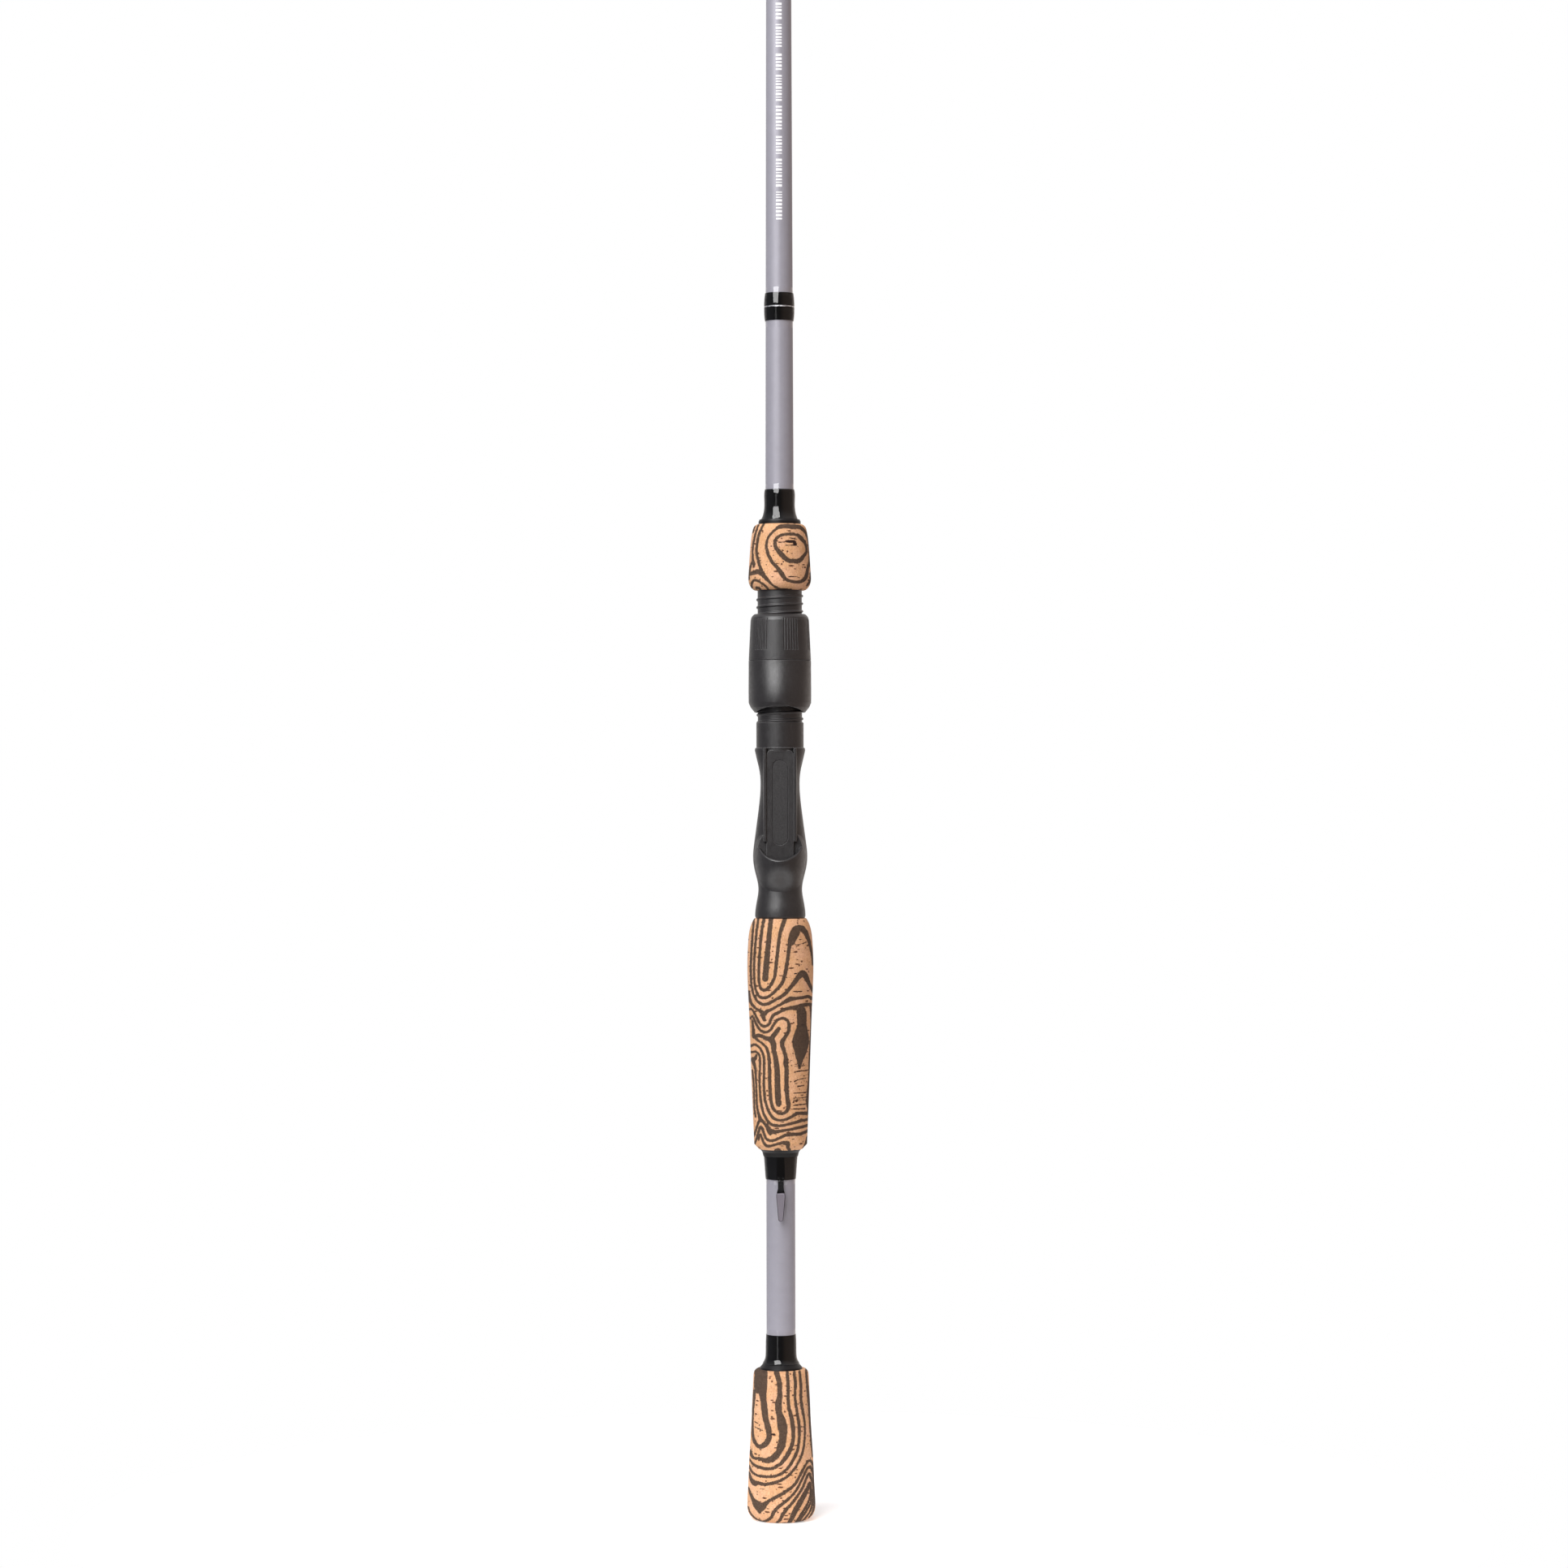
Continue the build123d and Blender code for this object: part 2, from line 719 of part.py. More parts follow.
nut_shell = lathed(
    [
        (MOVING_BORE_R, SPIGOT_BOTTOM),
        (SPIGOT_LIP_R - 0.3, SPIGOT_BOTTOM),
        (SPIGOT_LIP_R, SPIGOT_BOTTOM + 0.4),
        (SPIGOT_LIP_R, SPIGOT_LIP_TOP),
        (SPIGOT_R, SPIGOT_LIP_TOP),
        (SPIGOT_R, NUT_BOTTOM),
        (14.2, NUT_BOTTOM),
        (13.32, 409.5),
        (12.95, 410.9),
        (12.2, 411.9),
        (11.5, NUT_TOP),
        (MOVING_BORE_R, NUT_TOP),
    ]
)
groove_angles = [
    RIB_GROUP_PHASE - 90 + 360 / RIB_GROUPS * group + RIB_ANGLE * (line - RIBS_PER_GROUP / 2)
    for group in range(RIB_GROUPS)
    for line in range(RIBS_PER_GROUP + 1)
]

# The nut's own thread lies midway between the seat's ribs.
pitches_up = (NUT_RIB_START_Z - THREAD_START_Z - THREAD_PITCH / 2) / THREAD_PITCH
nut_phase = THREAD_START_ANGLE + 360 * pitches_up

with BuildPart() as locking_nut:
    add(nut_shell.part)
    for angle in groove_angles:
        add(rib_groove.part, rotation=(0, 0, angle), mode=Mode.SUBTRACT)
    add(helical_rib(MOVING_BORE_R, NUT_RIB_START_Z, NUT_RIB_TURNS, nut_phase, outward=False))
finish(locking_nut, "locking_nut")


# ---- line guides -----------------------------------------------------------------------------------


def ring_wall(size):
    """Radial thickness of the ceramic ring of a given guide size."""
    return 0.36 + 0.095 * size


def ring_height(size):
    """Axial length of the ceramic ring of a given guide size."""
    return 0.9 + 0.1 * size


def ceramic_ring(size, y, z, node):
    """Ring insert with a rounded mouth on both sides and a short straight land between."""
    wall = ring_wall(size)
    half = ring_height(size) / 2
    round_off = min(0.45 * wall, half - 0.35)
    with BuildPart() as ring:
        with BuildSketch(Plane.XZ) as section:
            with Locations((size / 2 - wall / 2, 0)):
                Rectangle(wall, 2 * half)
            fillet(section.vertices(), round_off)
        revolve(axis=Axis.Z)
    with BuildPart(Plane.XY.offset(z)) as placed:
        with Locations((0, y)):
            add(ring.part)
    finish(placed, node)


def wire(start, end, radius):
    """Straight round wire between two points."""
    with BuildPart() as rod:
        with BuildLine() as path:
            Line(start, end)
        with BuildSketch(Plane(origin=start, z_dir=path.line % 0)):
            Circle(radius)
        sweep(path=path.line)
    return rod.part


def guide_foot(start, direction, length, half_width, thickness):
    """Flat foot on the blank that thins out to a feather edge at its far end."""
    seat = -blank_radius(start)
    end = start + direction * length
    with BuildPart() as foot:
        with BuildSketch(Plane.YZ):
            with BuildLine():
                Polyline(
                    (seat + 0.6, start),
                    (seat - thickness, start),
                    (seat - thickness, start + direction * 0.55 * length),
                    (seat - 0.2, end),
                    (seat + 0.6, end),
                    close=True,
                )
            make_face()
        extrude(amount=half_width, both=True)
    return foot.part


def guide_sizes(size, height):
    """Wire radius, lean of the legs along the blank, and foot length of a guide."""
    return 0.55 + 0.014 * size, 0.55 * height, 9 + 0.45 * size


def guide_frame(number, z, size, height, feet):
    """Frame of one guide: ring holder, V legs and one or two feet on the blank."""
    wire_r, lean, foot_length = guide_sizes(size, height)
    holder = size / 2 + 0.6 + 0.02 * size
    centre_y = -(blank_radius(z) + height)
    spread = math.radians(42)
    with BuildPart() as frame:
        with BuildSketch(Plane.XY.offset(z - 0.5 - 0.02 * size)):
            with Locations((0, centre_y)):
                Circle(holder)
        extrude(amount=1.0 + 0.04 * size)
        fillet(frame.edges(), 0.3)
        for direction in [1, -1][:feet]:
            foot_z = z + direction * lean
            ankle = -(blank_radius(foot_z) + wire_r)
            for side in [1, -1]:
                shoulder = (
                    side * (holder - 0.05) * math.sin(spread),
                    centre_y + (holder - 0.05) * math.cos(spread),
                    z,
                )
                add(wire((side * 0.4, ankle, foot_z + direction * 0.8), shoulder, wire_r))
            add(guide_foot(foot_z, direction, foot_length, wire_r + 0.55, 2 * wire_r - 0.25))
        with BuildSketch(Plane.XY.offset(z - 5)):
            with Locations((0, centre_y)):
                Circle(size / 2)
        extrude(amount=10, mode=Mode.SUBTRACT)
        reach = lean + foot_length + 5
        add(blank_core(z - reach, z + reach).part, mode=Mode.SUBTRACT)
    finish(frame, f"guide_{number}_frame")
    return frame


def guide_wraps(number, frame, z, size, height, feet):
    """Thread and epoxy over each foot of a guide."""
    wire_r, lean, foot_length = guide_sizes(size, height)
    with BuildPart() as wraps:
        for direction in [1, -1][:feet]:
            near = z + direction * (lean + 2.2)
            far = z + direction * (lean + foot_length + 3.0)
            tall = blank_radius(near) + 2 * wire_r + 0.35
            lap = lathed(
                [
                    (0, near),
                    (blank_radius(near) + 0.35, near),
                    (blank_radius(far) + 0.3, far),
                    (0, far),
                ]
            )
            add(lap.part)
            loft(
                [
                    stretched_over_foot(near, blank_radius(near) + 0.35, wire_r + 0.9, tall),
                    stretched_over_foot(
                        z + direction * (lean + 0.6 * foot_length),
                        blank_radius(near) + 0.4,
                        wire_r + 0.9,
                        tall,
                    ),
                    stretched_over_foot(far, blank_radius(far) + 0.25, 0.5, blank_radius(far) + 0.29),
                ],
                ruled=True,
            )
        reach = lean + foot_length + 5
        add(blank_core(z - reach, z + reach).part, mode=Mode.SUBTRACT)
        add(frame.part, mode=Mode.SUBTRACT)
    finish(wraps, f"guide_{number}_wrap")


for number, (z, size, height, feet) in enumerate(GUIDES, start=1):
    frame = guide_frame(number, z, size, height, feet)
    ceramic_ring(size, -(blank_radius(z) + height), z, f"guide_{number}_ring")
    guide_wraps(number, frame, z, size, height, feet)


# ---- tip-top ---------------------------------------------------------------------------------------

TIP_HOLDER_R = TIP_RING_SIZE / 2 + 0.7
TIP_RING_Z = ROD_LENGTH - ring_height(TIP_RING_SIZE) / 2
tube_r = blank_radius(TIP_TUBE_BOTTOM) + TIP_TUBE_WALL

with BuildPart() as tip_top:
    with BuildSketch(Plane.XY.offset(TIP_TUBE_BOTTOM)):
        Circle(tube_r)
    extrude(amount=TIP_TUBE_TOP - TIP_TUBE_BOTTOM)
    with BuildSketch(Plane.XY.offset(TIP_RING_Z - 0.6)):
        with Locations((0, -TIP_RING_OFFSET)):
            Circle(TIP_HOLDER_R)
    extrude(amount=1.2)
    for side in [1, -1]:
        add(
            wire(
                (side * (tube_r - 0.2), -0.3, TIP_TUBE_BOTTOM + 3),
                (side * (TIP_HOLDER_R - 0.15), -TIP_RING_OFFSET, TIP_RING_Z),
                0.5,
            )
        )
    add(
        wire(
            (0, 0, TIP_TUBE_TOP - 0.6),
            (0, -TIP_RING_OFFSET + TIP_HOLDER_R - 0.1, TIP_RING_Z),
            0.55,
        )
    )
    with BuildSketch(Plane.XY.offset(TIP_RING_Z - 3)):
        with Locations((0, -TIP_RING_OFFSET)):
            Circle(TIP_RING_SIZE / 2)
    extrude(amount=6, mode=Mode.SUBTRACT)
    add(blank_core(TIP_TUBE_BOTTOM - 2, tip_z).part, mode=Mode.SUBTRACT)
finish(tip_top, "tip_top_frame")

ceramic_ring(TIP_RING_SIZE, -TIP_RING_OFFSET, TIP_RING_Z, "tip_top_ring")

tip_wrap_bottom = TIP_TUBE_BOTTOM - 7
tip_wrap = turned(
    [
        on_blank(tip_wrap_bottom),
        (blank_radius(tip_wrap_bottom) + 0.3, tip_wrap_bottom + 1.2),
        (tube_r + 0.05, TIP_TUBE_BOTTOM - 1.0),
        (tube_r, TIP_TUBE_BOTTOM),
    ],
    [on_blank(TIP_TUBE_BOTTOM)],
)
finish(tip_wrap, "tip_wrap")
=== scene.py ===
import math

import bmesh
import bpy
import numpy as np
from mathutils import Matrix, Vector
from mathutils.bvhtree import BVHTree


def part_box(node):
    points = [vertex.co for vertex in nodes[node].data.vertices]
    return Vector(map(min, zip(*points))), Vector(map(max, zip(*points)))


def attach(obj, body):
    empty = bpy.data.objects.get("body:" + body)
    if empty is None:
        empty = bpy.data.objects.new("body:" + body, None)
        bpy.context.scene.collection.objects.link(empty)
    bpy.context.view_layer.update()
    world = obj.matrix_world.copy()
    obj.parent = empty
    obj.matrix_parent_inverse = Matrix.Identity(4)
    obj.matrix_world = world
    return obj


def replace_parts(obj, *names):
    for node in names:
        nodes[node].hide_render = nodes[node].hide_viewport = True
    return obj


# Looks for a spinning rod that stands on its butt along +Z.
# Metres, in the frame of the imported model. Material patterns are laid out in millimetres.

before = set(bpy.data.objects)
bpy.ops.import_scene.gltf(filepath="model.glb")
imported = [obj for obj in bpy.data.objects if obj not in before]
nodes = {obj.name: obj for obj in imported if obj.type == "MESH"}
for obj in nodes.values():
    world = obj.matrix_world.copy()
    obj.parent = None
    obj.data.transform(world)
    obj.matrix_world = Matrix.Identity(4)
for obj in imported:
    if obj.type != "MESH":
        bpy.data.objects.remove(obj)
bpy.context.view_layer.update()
MM = 0.001
TO_MM = 1000
rng = np.random.default_rng(7)  # for the printed marks


# ---- camera ------------------------------------------------------------------------------------

camera = bpy.data.objects.new("camera", bpy.data.cameras.new("camera"))
bpy.context.scene.collection.objects.link(camera)
bpy.context.scene.camera = camera
camera.data.lens = 94.5
camera.data.sensor_width = 36
camera.location = (0.0018, -1.877, 0.335)
camera.rotation_euler = (math.radians(90), math.radians(0.1), 0)
camera.data.clip_end = 50
bpy.context.scene.view_settings.view_transform = "Standard"


# ---- helpers -----------------------------------------------------------------------------------


def add(name, data):
    """New object in the scene."""
    made = bpy.data.objects.new(name, data)
    bpy.context.scene.collection.objects.link(made)
    return made


def heights_of(node):
    """Lowest and highest z of a CAD node."""
    return [corner[2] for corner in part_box(node)]


def colour(code):
    """Linear colour from an sRGB hex code."""
    parts = [int(code[i : i + 2], 16) / 255 for i in (1, 3, 5)]
    return [c / 12.92 if c < 0.04045 else ((c + 0.055) / 1.055) ** 2.4 for c in parts] + [1.0]


class Tree:
    """A node tree that starts empty."""

    def __init__(self, owner):
        owner.use_nodes = True
        self.tree = owner.node_tree
        self.tree.nodes.clear()

    def node(self, kind, inputs=None, **settings):
        """New node. Each input is another node's output or a plain value."""
        made = self.tree.nodes.new(kind)
        for key, value in settings.items():
            setattr(made, key, value)
        for key, value in (inputs or {}).items():
            if isinstance(value, bpy.types.NodeSocket):
                self.tree.links.new(value, made.inputs[key])
            else:
                made.inputs[key].default_value = value
        return made

    def mix(self, share, first, second, **settings):
        """Colour that goes from first to second as share goes from 0 to 1."""
        sockets = {0: share, 6: first, 7: second}
        return self.node("ShaderNodeMix", sockets, data_type="RGBA", **settings).outputs[2]


class Paint(Tree):
    """One material. Each method adds a node and gives its output."""

    def __init__(self, name):
        self.material = bpy.data.materials.new(name)
        super().__init__(self.material)
        place = self.node("ShaderNodeTexCoord").outputs["Object"]
        scaled = self.node("ShaderNodeVectorMath", {0: place, "Scale": TO_MM}, operation="SCALE")
        self.mm = scaled.outputs[0]

    def math(self, operation, *values):
        return self.node("ShaderNodeMath", dict(enumerate(values)), operation=operation).outputs[0]

    def height(self):
        """Height above the butt in millimetres."""
        return self.node("ShaderNodeSeparateXYZ", {0: self.mm}).outputs[2]

    def facing(self):
        """The surface's own direction, without bump."""
        return self.node("ShaderNodeNewGeometry").outputs["Normal"]

    def stretch(self, x, y, z):
        """Position in millimetres, scaled along each axis."""
        made = self.node("ShaderNodeVectorMath", {0: self.mm, 1: (x, y, z)}, operation="MULTIPLY")
        return made.outputs[0]

    def noise(self, scale, detail=3.0, place=None, rough=0.5):
        """Noise with the given number of features per millimetre, from 0 to 1."""
        inputs = {"Vector": place or self.mm, "Scale": scale, "Detail": detail, "Roughness": rough}
        return self.node("ShaderNodeTexNoise", inputs).outputs["Fac"]

    def ramp(self, value, low, high, first=0.0, last=1.0):
        """Value mapped from low..high to first..last, and held outside."""
        inputs = {0: value, 1: low, 2: high, 3: first, 4: last}
        made = self.node("ShaderNodeMapRange", inputs, interpolation_type="SMOOTHSTEP")
        return made.outputs[0]

    def bump(self, height, depth, under=None):
        """Normal for a height from 0 to 1 that stands for the given depth in millimetres."""
        inputs = {"Height": height, "Distance": depth * MM, "Strength": 1.0}
        if under:
            inputs["Normal"] = under
        return self.node("ShaderNodeBump", inputs).outputs[0]

    def surface(self, **inputs):
        """The finished material. Inputs are those of a Principled shader, in lower case."""
        named = {}
        for key, value in inputs.items():
            named[key.replace("_", " ").title().replace("Ior", "IOR")] = value
        shader = self.node("ShaderNodeBsdfPrincipled", named)
        self.node("ShaderNodeOutputMaterial", {"Surface": shader.outputs[0]})
        return self.material


def dress(material, *names):
    """Give CAD nodes a material."""
    for name in names:
        for slot in nodes[name].material_slots:
            slot.material = material


# ---- materials ---------------------------------------------------------------------------------


def blank_paint():
    """Satin lavender-grey lacquer with faint streaks along the blank and pale flecks."""
    p = Paint("blank_lacquer")
    mottle = p.noise(0.25, 4)
    fleck = p.ramp(p.noise(9, 2), 0.58, 0.75)
    streak = p.noise(1.0, 3, p.stretch(0.9, 0.9, 0.02))
    base = p.mix(mottle, colour("#918f98"), colour("#9a98a2"))
    base = p.mix(p.math("MULTIPLY", fleck, 0.25), base, colour("#c9c8d2"))
    rough = p.ramp(p.math("ADD", streak, p.noise(2, 3)), 0.6, 1.4, 0.4, 0.52)
    fine = p.bump(p.noise(3, 3), 0.006)
    return p.surface(base_color=base, roughness=rough, metallic=0.15, normal=fine)


def seat_plastic():
    """Grained charcoal nylon, scuffed, with edges rounded and a painted highlight along them."""
    p = Paint("seat_nylon")
    grain = p.noise(5, 3, rough=0.65)
    cloud = p.noise(0.12, 4)
    scuff = p.ramp(p.noise(0.7, 5, p.stretch(1, 1, 0.25)), 0.62, 0.75)
    base = p.mix(cloud, colour("#1c1a1b"), colour("#232122"))
    base = p.mix(p.ramp(grain, 0.5, 0.8), base, colour("#454344"))
    base = p.mix(p.math("MULTIPLY", scuff, 0.25), base, colour("#454243"))
    rough = p.ramp(p.noise(0.5, 4), 0.3, 0.7, 0.32, 0.42)
    rounded = p.node("ShaderNodeBevel", {"Radius": 0.25 * MM}, samples=6).outputs[0]
    both = {0: rounded, 1: p.facing()}
    edge_highlight_dot = p.node("ShaderNodeVectorMath", both, operation="DOT_PRODUCT").outputs["Value"]
    # Painted highlight: edges, found with the rounded normal, are painted paler as if they catch
    # the light.
    base = p.mix(p.ramp(edge_highlight_dot, 0.99, 0.85, 0, 0.7), base, colour("#7d7b7c"))
    return p.surface(
        base_color=base,
        roughness=rough,
        specular_ior_level=0.7,
        normal=p.bump(grain, 0.045, rounded),
    )


def pad_rubber():
    """Matte charcoal rubber with a coarse pebbled face."""
    p = Paint("pad_rubber")
    grain = p.noise(3.4, 2, rough=0.8)
    base = p.mix(p.ramp(grain, 0.35, 0.7), colour("#1b1a1b"), colour("#383637"))
    return p.surface(base_color=base, roughness=0.48, normal=p.bump(grain, 0.07))


def check_plastic():
    """Satin black plastic with fine turning marks."""
    p = Paint("check_plastic")
    turned = p.noise(4, 2, p.stretch(0.05, 0.05, 1))
    base = p.mix(p.noise(0.6, 3), colour("#0b0a0b"), colour("#141213"))
    rough = p.ramp(p.noise(1.5, 3), 0.3, 0.7, 0.34, 0.46)
    fine = p.bump(turned, 0.02)
    return p.surface(base_color=base, roughness=rough, specular_ior_level=0.3, normal=fine)


THREAD_TURNS = 4  # a millimetre


def thread_paint(name, dark, light, glint=0.0, metal=0.0, ior=1.5, gloss=1.0):
    """Thread wound round the rod, with painted shade in the grooves between turns, painted glints
    when asked for, and a gloss coat where no epoxy skin lies over it.
    """
    p = Paint(name)
    turns = p.math("SINE", p.math("MULTIPLY", p.height(), THREAD_TURNS * 2 * math.pi))
    turns = p.math("MULTIPLY_ADD", turns, 0.5, 0.5)
    fibre = p.noise(3, 3, p.stretch(0.6, 0.6, 4))
    # Painted shade: the colour is darker in the grooves between turns and lighter on their crests.
    base = p.mix(p.math("MULTIPLY", turns, fibre), colour(dark), colour(light))
    if glint:
        # Painted glints: bright dashes mixed into the colour of the metal thread.
        painted_glint = p.ramp(p.noise(glint, 2, p.stretch(1, 1, 2)), 0.5, 0.62)
        base = p.mix(painted_glint, base, colour("#f2f2f6"))
    return p.surface(
        base_color=base,
        metallic=metal,
        roughness=0.5,
        ior=ior,
        normal=p.bump(turns, 0.03),
        coat_weight=gloss,
        coat_roughness=0.03,
    )


def clear_epoxy():
    """A clear skin that shows what is under it and reflects the room."""
    p = Paint("clear_epoxy")
    wave = p.bump(p.noise(0.25, 2), 0.015)
    clear = p.node("ShaderNodeBsdfTransparent").outputs[0]
    mirror = {"Base Color": (1, 1, 1, 1), "Metallic": 1.0, "Roughness": 0.025, "Normal": wave}
    gloss = p.node("ShaderNodeBsdfPrincipled", mirror).outputs[0]
    edge = p.node("ShaderNodeFresnel", {"IOR": 1.55, "Normal": wave}).outputs[0]
    inside = p.node("ShaderNodeNewGeometry").outputs["Backfacing"]
    share = p.math("MULTIPLY", edge, p.math("SUBTRACT", 1.0, inside))
    both = p.node("ShaderNodeMixShader", {0: share, 1: clear, 2: gloss})
    p.node("ShaderNodeOutputMaterial", {"Surface": both.outputs[0]})
    return p.material


def guide_paint():
    """Black plated steel, polished, with fine scratches."""
    p = Paint("guide_steel")
    lines = p.noise(2.5, 4, p.stretch(3, 3, 0.3))
    base = p.mix(lines, colour("#3a3a3e"), colour("#4c4c52"))
    smear = p.ramp(p.noise(0.8, 4), 0.3, 0.7, 0.165, 0.286)
    return p.surface(base_color=base, metallic=1.0, roughness=smear, normal=p.bump(lines, 0.01))


def keeper_paint():
    """Satin grey tongue with painted shade on faces that turn from the front, and a neck painted
    black as a dark reflection, which ends just below the epoxy over it.
    """
    p = Paint("keeper_steel")
    epoxy_end = heights_of("keeper_wrap_finish")[0] * TO_MM
    wander = p.math("MULTIPLY_ADD", p.noise(0.8, 3), 1.2, p.height())
    painted_dark_neck = p.ramp(wander, epoxy_end - 1.1, epoxy_end - 0.5)
    lines = p.noise(2.5, 4, p.stretch(3, 3, 0.3))
    front = p.node("ShaderNodeSeparateXYZ", {0: p.facing()}).outputs[1]
    metal = p.mix(lines, colour("#7d7780"), colour("#8d8791"))
    # Painted shade: faces that turn away from the front are painted dark, a dark outline round the
    # tongue.
    metal = p.mix(p.ramp(front, -0.93, -0.8), metal, colour("#1d1b1e"))
    # Painted reflection: above this height the neck is painted black, standing for the dark room it
    # reflects.
    base = p.mix(painted_dark_neck, metal, colour("#060506"))
    rough = p.ramp(p.noise(1.2, 4), 0.3, 0.7, 0.38, 0.5)
    return p.surface(
        base_color=base,
        metallic=p.ramp(painted_dark_neck, 0, 1, 0.5, 0.0),
        roughness=p.math("MULTIPLY", rough, p.ramp(painted_dark_neck, 0, 1, 1.0, 0.35)),
        specular_ior_level=0.3,
        normal=p.bump(lines, 0.012),
    )


def ceramic():
    """Polished dark ceramic of the line rings."""
    p = Paint("ring_ceramic")
    base = p.mix(p.noise(1.2, 3), colour("#202024"), colour("#303036"))
    rough = p.ramp(p.noise(3, 3), 0.3, 0.7, 0.07, 0.14)
    return p.surface(base_color=base, roughness=rough, coat_weight=0.6, coat_roughness=0.04)


def foam():
    """Pale machined foam."""
    p = Paint("arbor_foam")
    cells = p.noise(2.2, 3)
    base = p.mix(cells, colour("#b9b095"), colour("#d8d0b6"))
    return p.surface(base_color=base, roughness=0.9, normal=p.bump(cells, 0.2))


def print_paint():
    """White print, a little worn."""
    p = Paint("white_print")
    worn = p.noise(3, 4)
    base = p.mix(worn, colour("#f4f4f6"), colour("#dcdce0"))
    return p.surface(base_color=base, roughness=0.45)


def cork_paint():
    """Tan cork with dark burl layers and cracks, from each point's distance to them."""
    p = Paint("burl_cork")
    ragged = p.math("SUBTRACT", p.noise(0.8, 5, rough=0.7), 0.5)
    frayed = p.math("SUBTRACT", p.noise(2.6, 4, rough=0.8), 0.5)
    fray = p.math("MULTIPLY_ADD", ragged, 1.0, p.math("MULTIPLY", frayed, 1.3))
    vein = p.node("ShaderNodeAttribute", attribute_name="vein").outputs["Fac"]
    dark = p.ramp(p.math("ADD", vein, fray), 0.34, 0.16)
    scar = p.node("ShaderNodeAttribute", attribute_name="scar").outputs["Fac"]
    crack = p.ramp(p.math("MULTIPLY_ADD", fray, 0.65, scar), 0.12, -0.08)

    # Light cork: broad drifts of tint, fibres across the layers, mottling and pale flecks.
    light = p.mix(p.ramp(p.noise(0.16, 3), 0.35, 0.65), colour("#cf9a70"), colour("#dda886"))
    light = p.mix(p.ramp(p.noise(0.09, 2), 0.4, 0.62, 0, 0.5), light, colour("#d9a06a"))
    fibre = p.noise(1.5, 4, p.stretch(2.8, 2.8, 0.5), 0.6)
    light = p.mix(p.ramp(fibre, 0.4, 0.66, 0, 0.65), light, colour("#efc69c"))
    mottle = p.noise(1.8, 5, rough=0.7)
    light = p.mix(p.ramp(mottle, 0.48, 0.66, 0, 0.7), light, colour("#b07c58"))

    # Dark layers: crushed bark, brown-grey with pale and black specks.
    speck = p.noise(3.6, 4, rough=0.75)
    bark = p.mix(p.ramp(speck, 0.35, 0.68), colour("#34271f"), colour("#66503f"))
    bark = p.mix(p.ramp(p.noise(4.5, 2), 0.62, 0.7), bark, colour("#8f7768"))

    def blots(place, scale, widest, frayed_by):
        """Small marks, one in each cell of a pattern and each of its own size, or none."""
        cell = p.node("ShaderNodeTexVoronoi", {"Vector": place, "Scale": scale})
        chance = p.node("ShaderNodeTexWhiteNoise", {0: cell.outputs["Color"]}).outputs["Value"]
        near = p.math("MULTIPLY_ADD", fray, frayed_by, cell.outputs["Distance"])
        size = p.ramp(chance, 0.3, 1.0, 0, widest)
        return p.ramp(p.math("SUBTRACT", size, near), 0.0, 0.06)

    dashes = blots(p.stretch(0.3, 0.3, 0.9), 0.8, 0.33, 0.3)
    pits = blots(p.mm, 0.5, 0.27, 0.35)
    marks = p.math("MAXIMUM", dashes, pits)
    light = p.mix(p.math("MULTIPLY", marks, 0.9), light, colour("#4e2817"))

    base = p.mix(dark, light, bark)
    base = p.mix(crack, base, colour("#2a1710"))
    sunk = p.math("MAXIMUM", p.math("MULTIPLY", marks, 0.6), crack)
    low = p.math("SUBTRACT", p.noise(2.5, 5, rough=0.7), p.math("MULTIPLY", sunk, 2.0))
    low = p.math("SUBTRACT", low, p.math("MULTIPLY", p.math("MULTIPLY", dark, speck), 0.9))
    return p.surface(
        base_color=base,
        roughness=p.ramp(dark, 0, 1, 0.72, 0.85),
        specular_ior_level=0.3,
        normal=p.bump(low, 0.16),
    )


black_thread = thread_paint("black_thread", "#030303", "#0b0b0c", ior=1.0, gloss=0.0)
varnished_thread = thread_paint("varnished_thread", "#030303", "#0c0c0d")
silver_thread = thread_paint("silver_thread", "#55555a", "#c9c9d0", glint=1.4, metal=0.8)
epoxy = clear_epoxy()

dress(seat_plastic(), "reel_seat_body", "sliding_hood", "locking_nut")
dress(pad_rubber(), "seat_foot_pad")
dress(check_plastic(), "butt_winding_check", "rear_winding_check", "fore_winding_check")
dress(keeper_paint(), "hook_keeper")
dress(foam(), "seat_arbor_lower", "seat_arbor_middle", "seat_arbor_upper")
dress(guide_paint(), *[n for n in nodes if n.endswith("_frame")])
dress(ceramic(), *[n for n in nodes if n.endswith("_ring")])


# ---- turned pieces -----------------------------------------------------------------------------

SHARP = math.radians(50)  # sharper edges are not smoothed
OUTER = 0.02  # an outer wall's normal points away from the axis by at least this cosine
BLANK_SEGMENTS, BLANK_RINGS = 96, 140
BLANK_END = 0.0002  # radius that the blank's closed ends narrow to


def outline(node):
    """Heights and radii of the outer wall of a turned CAD node."""
    vertices = nodes[node].data.vertices
    points = np.array([v.co for v in vertices])
    normals = np.array([v.normal for v in vertices])
    radius = np.hypot(points[:, 0], points[:, 1])
    outer = (points[:, :2] * normals[:, :2]).sum(axis=1) > OUTER * radius
    radius, height = radius[outer], np.round(points[outer, 2], 5)
    levels = np.unique(height)
    return levels, np.array([radius[height == level].max() for level in levels])


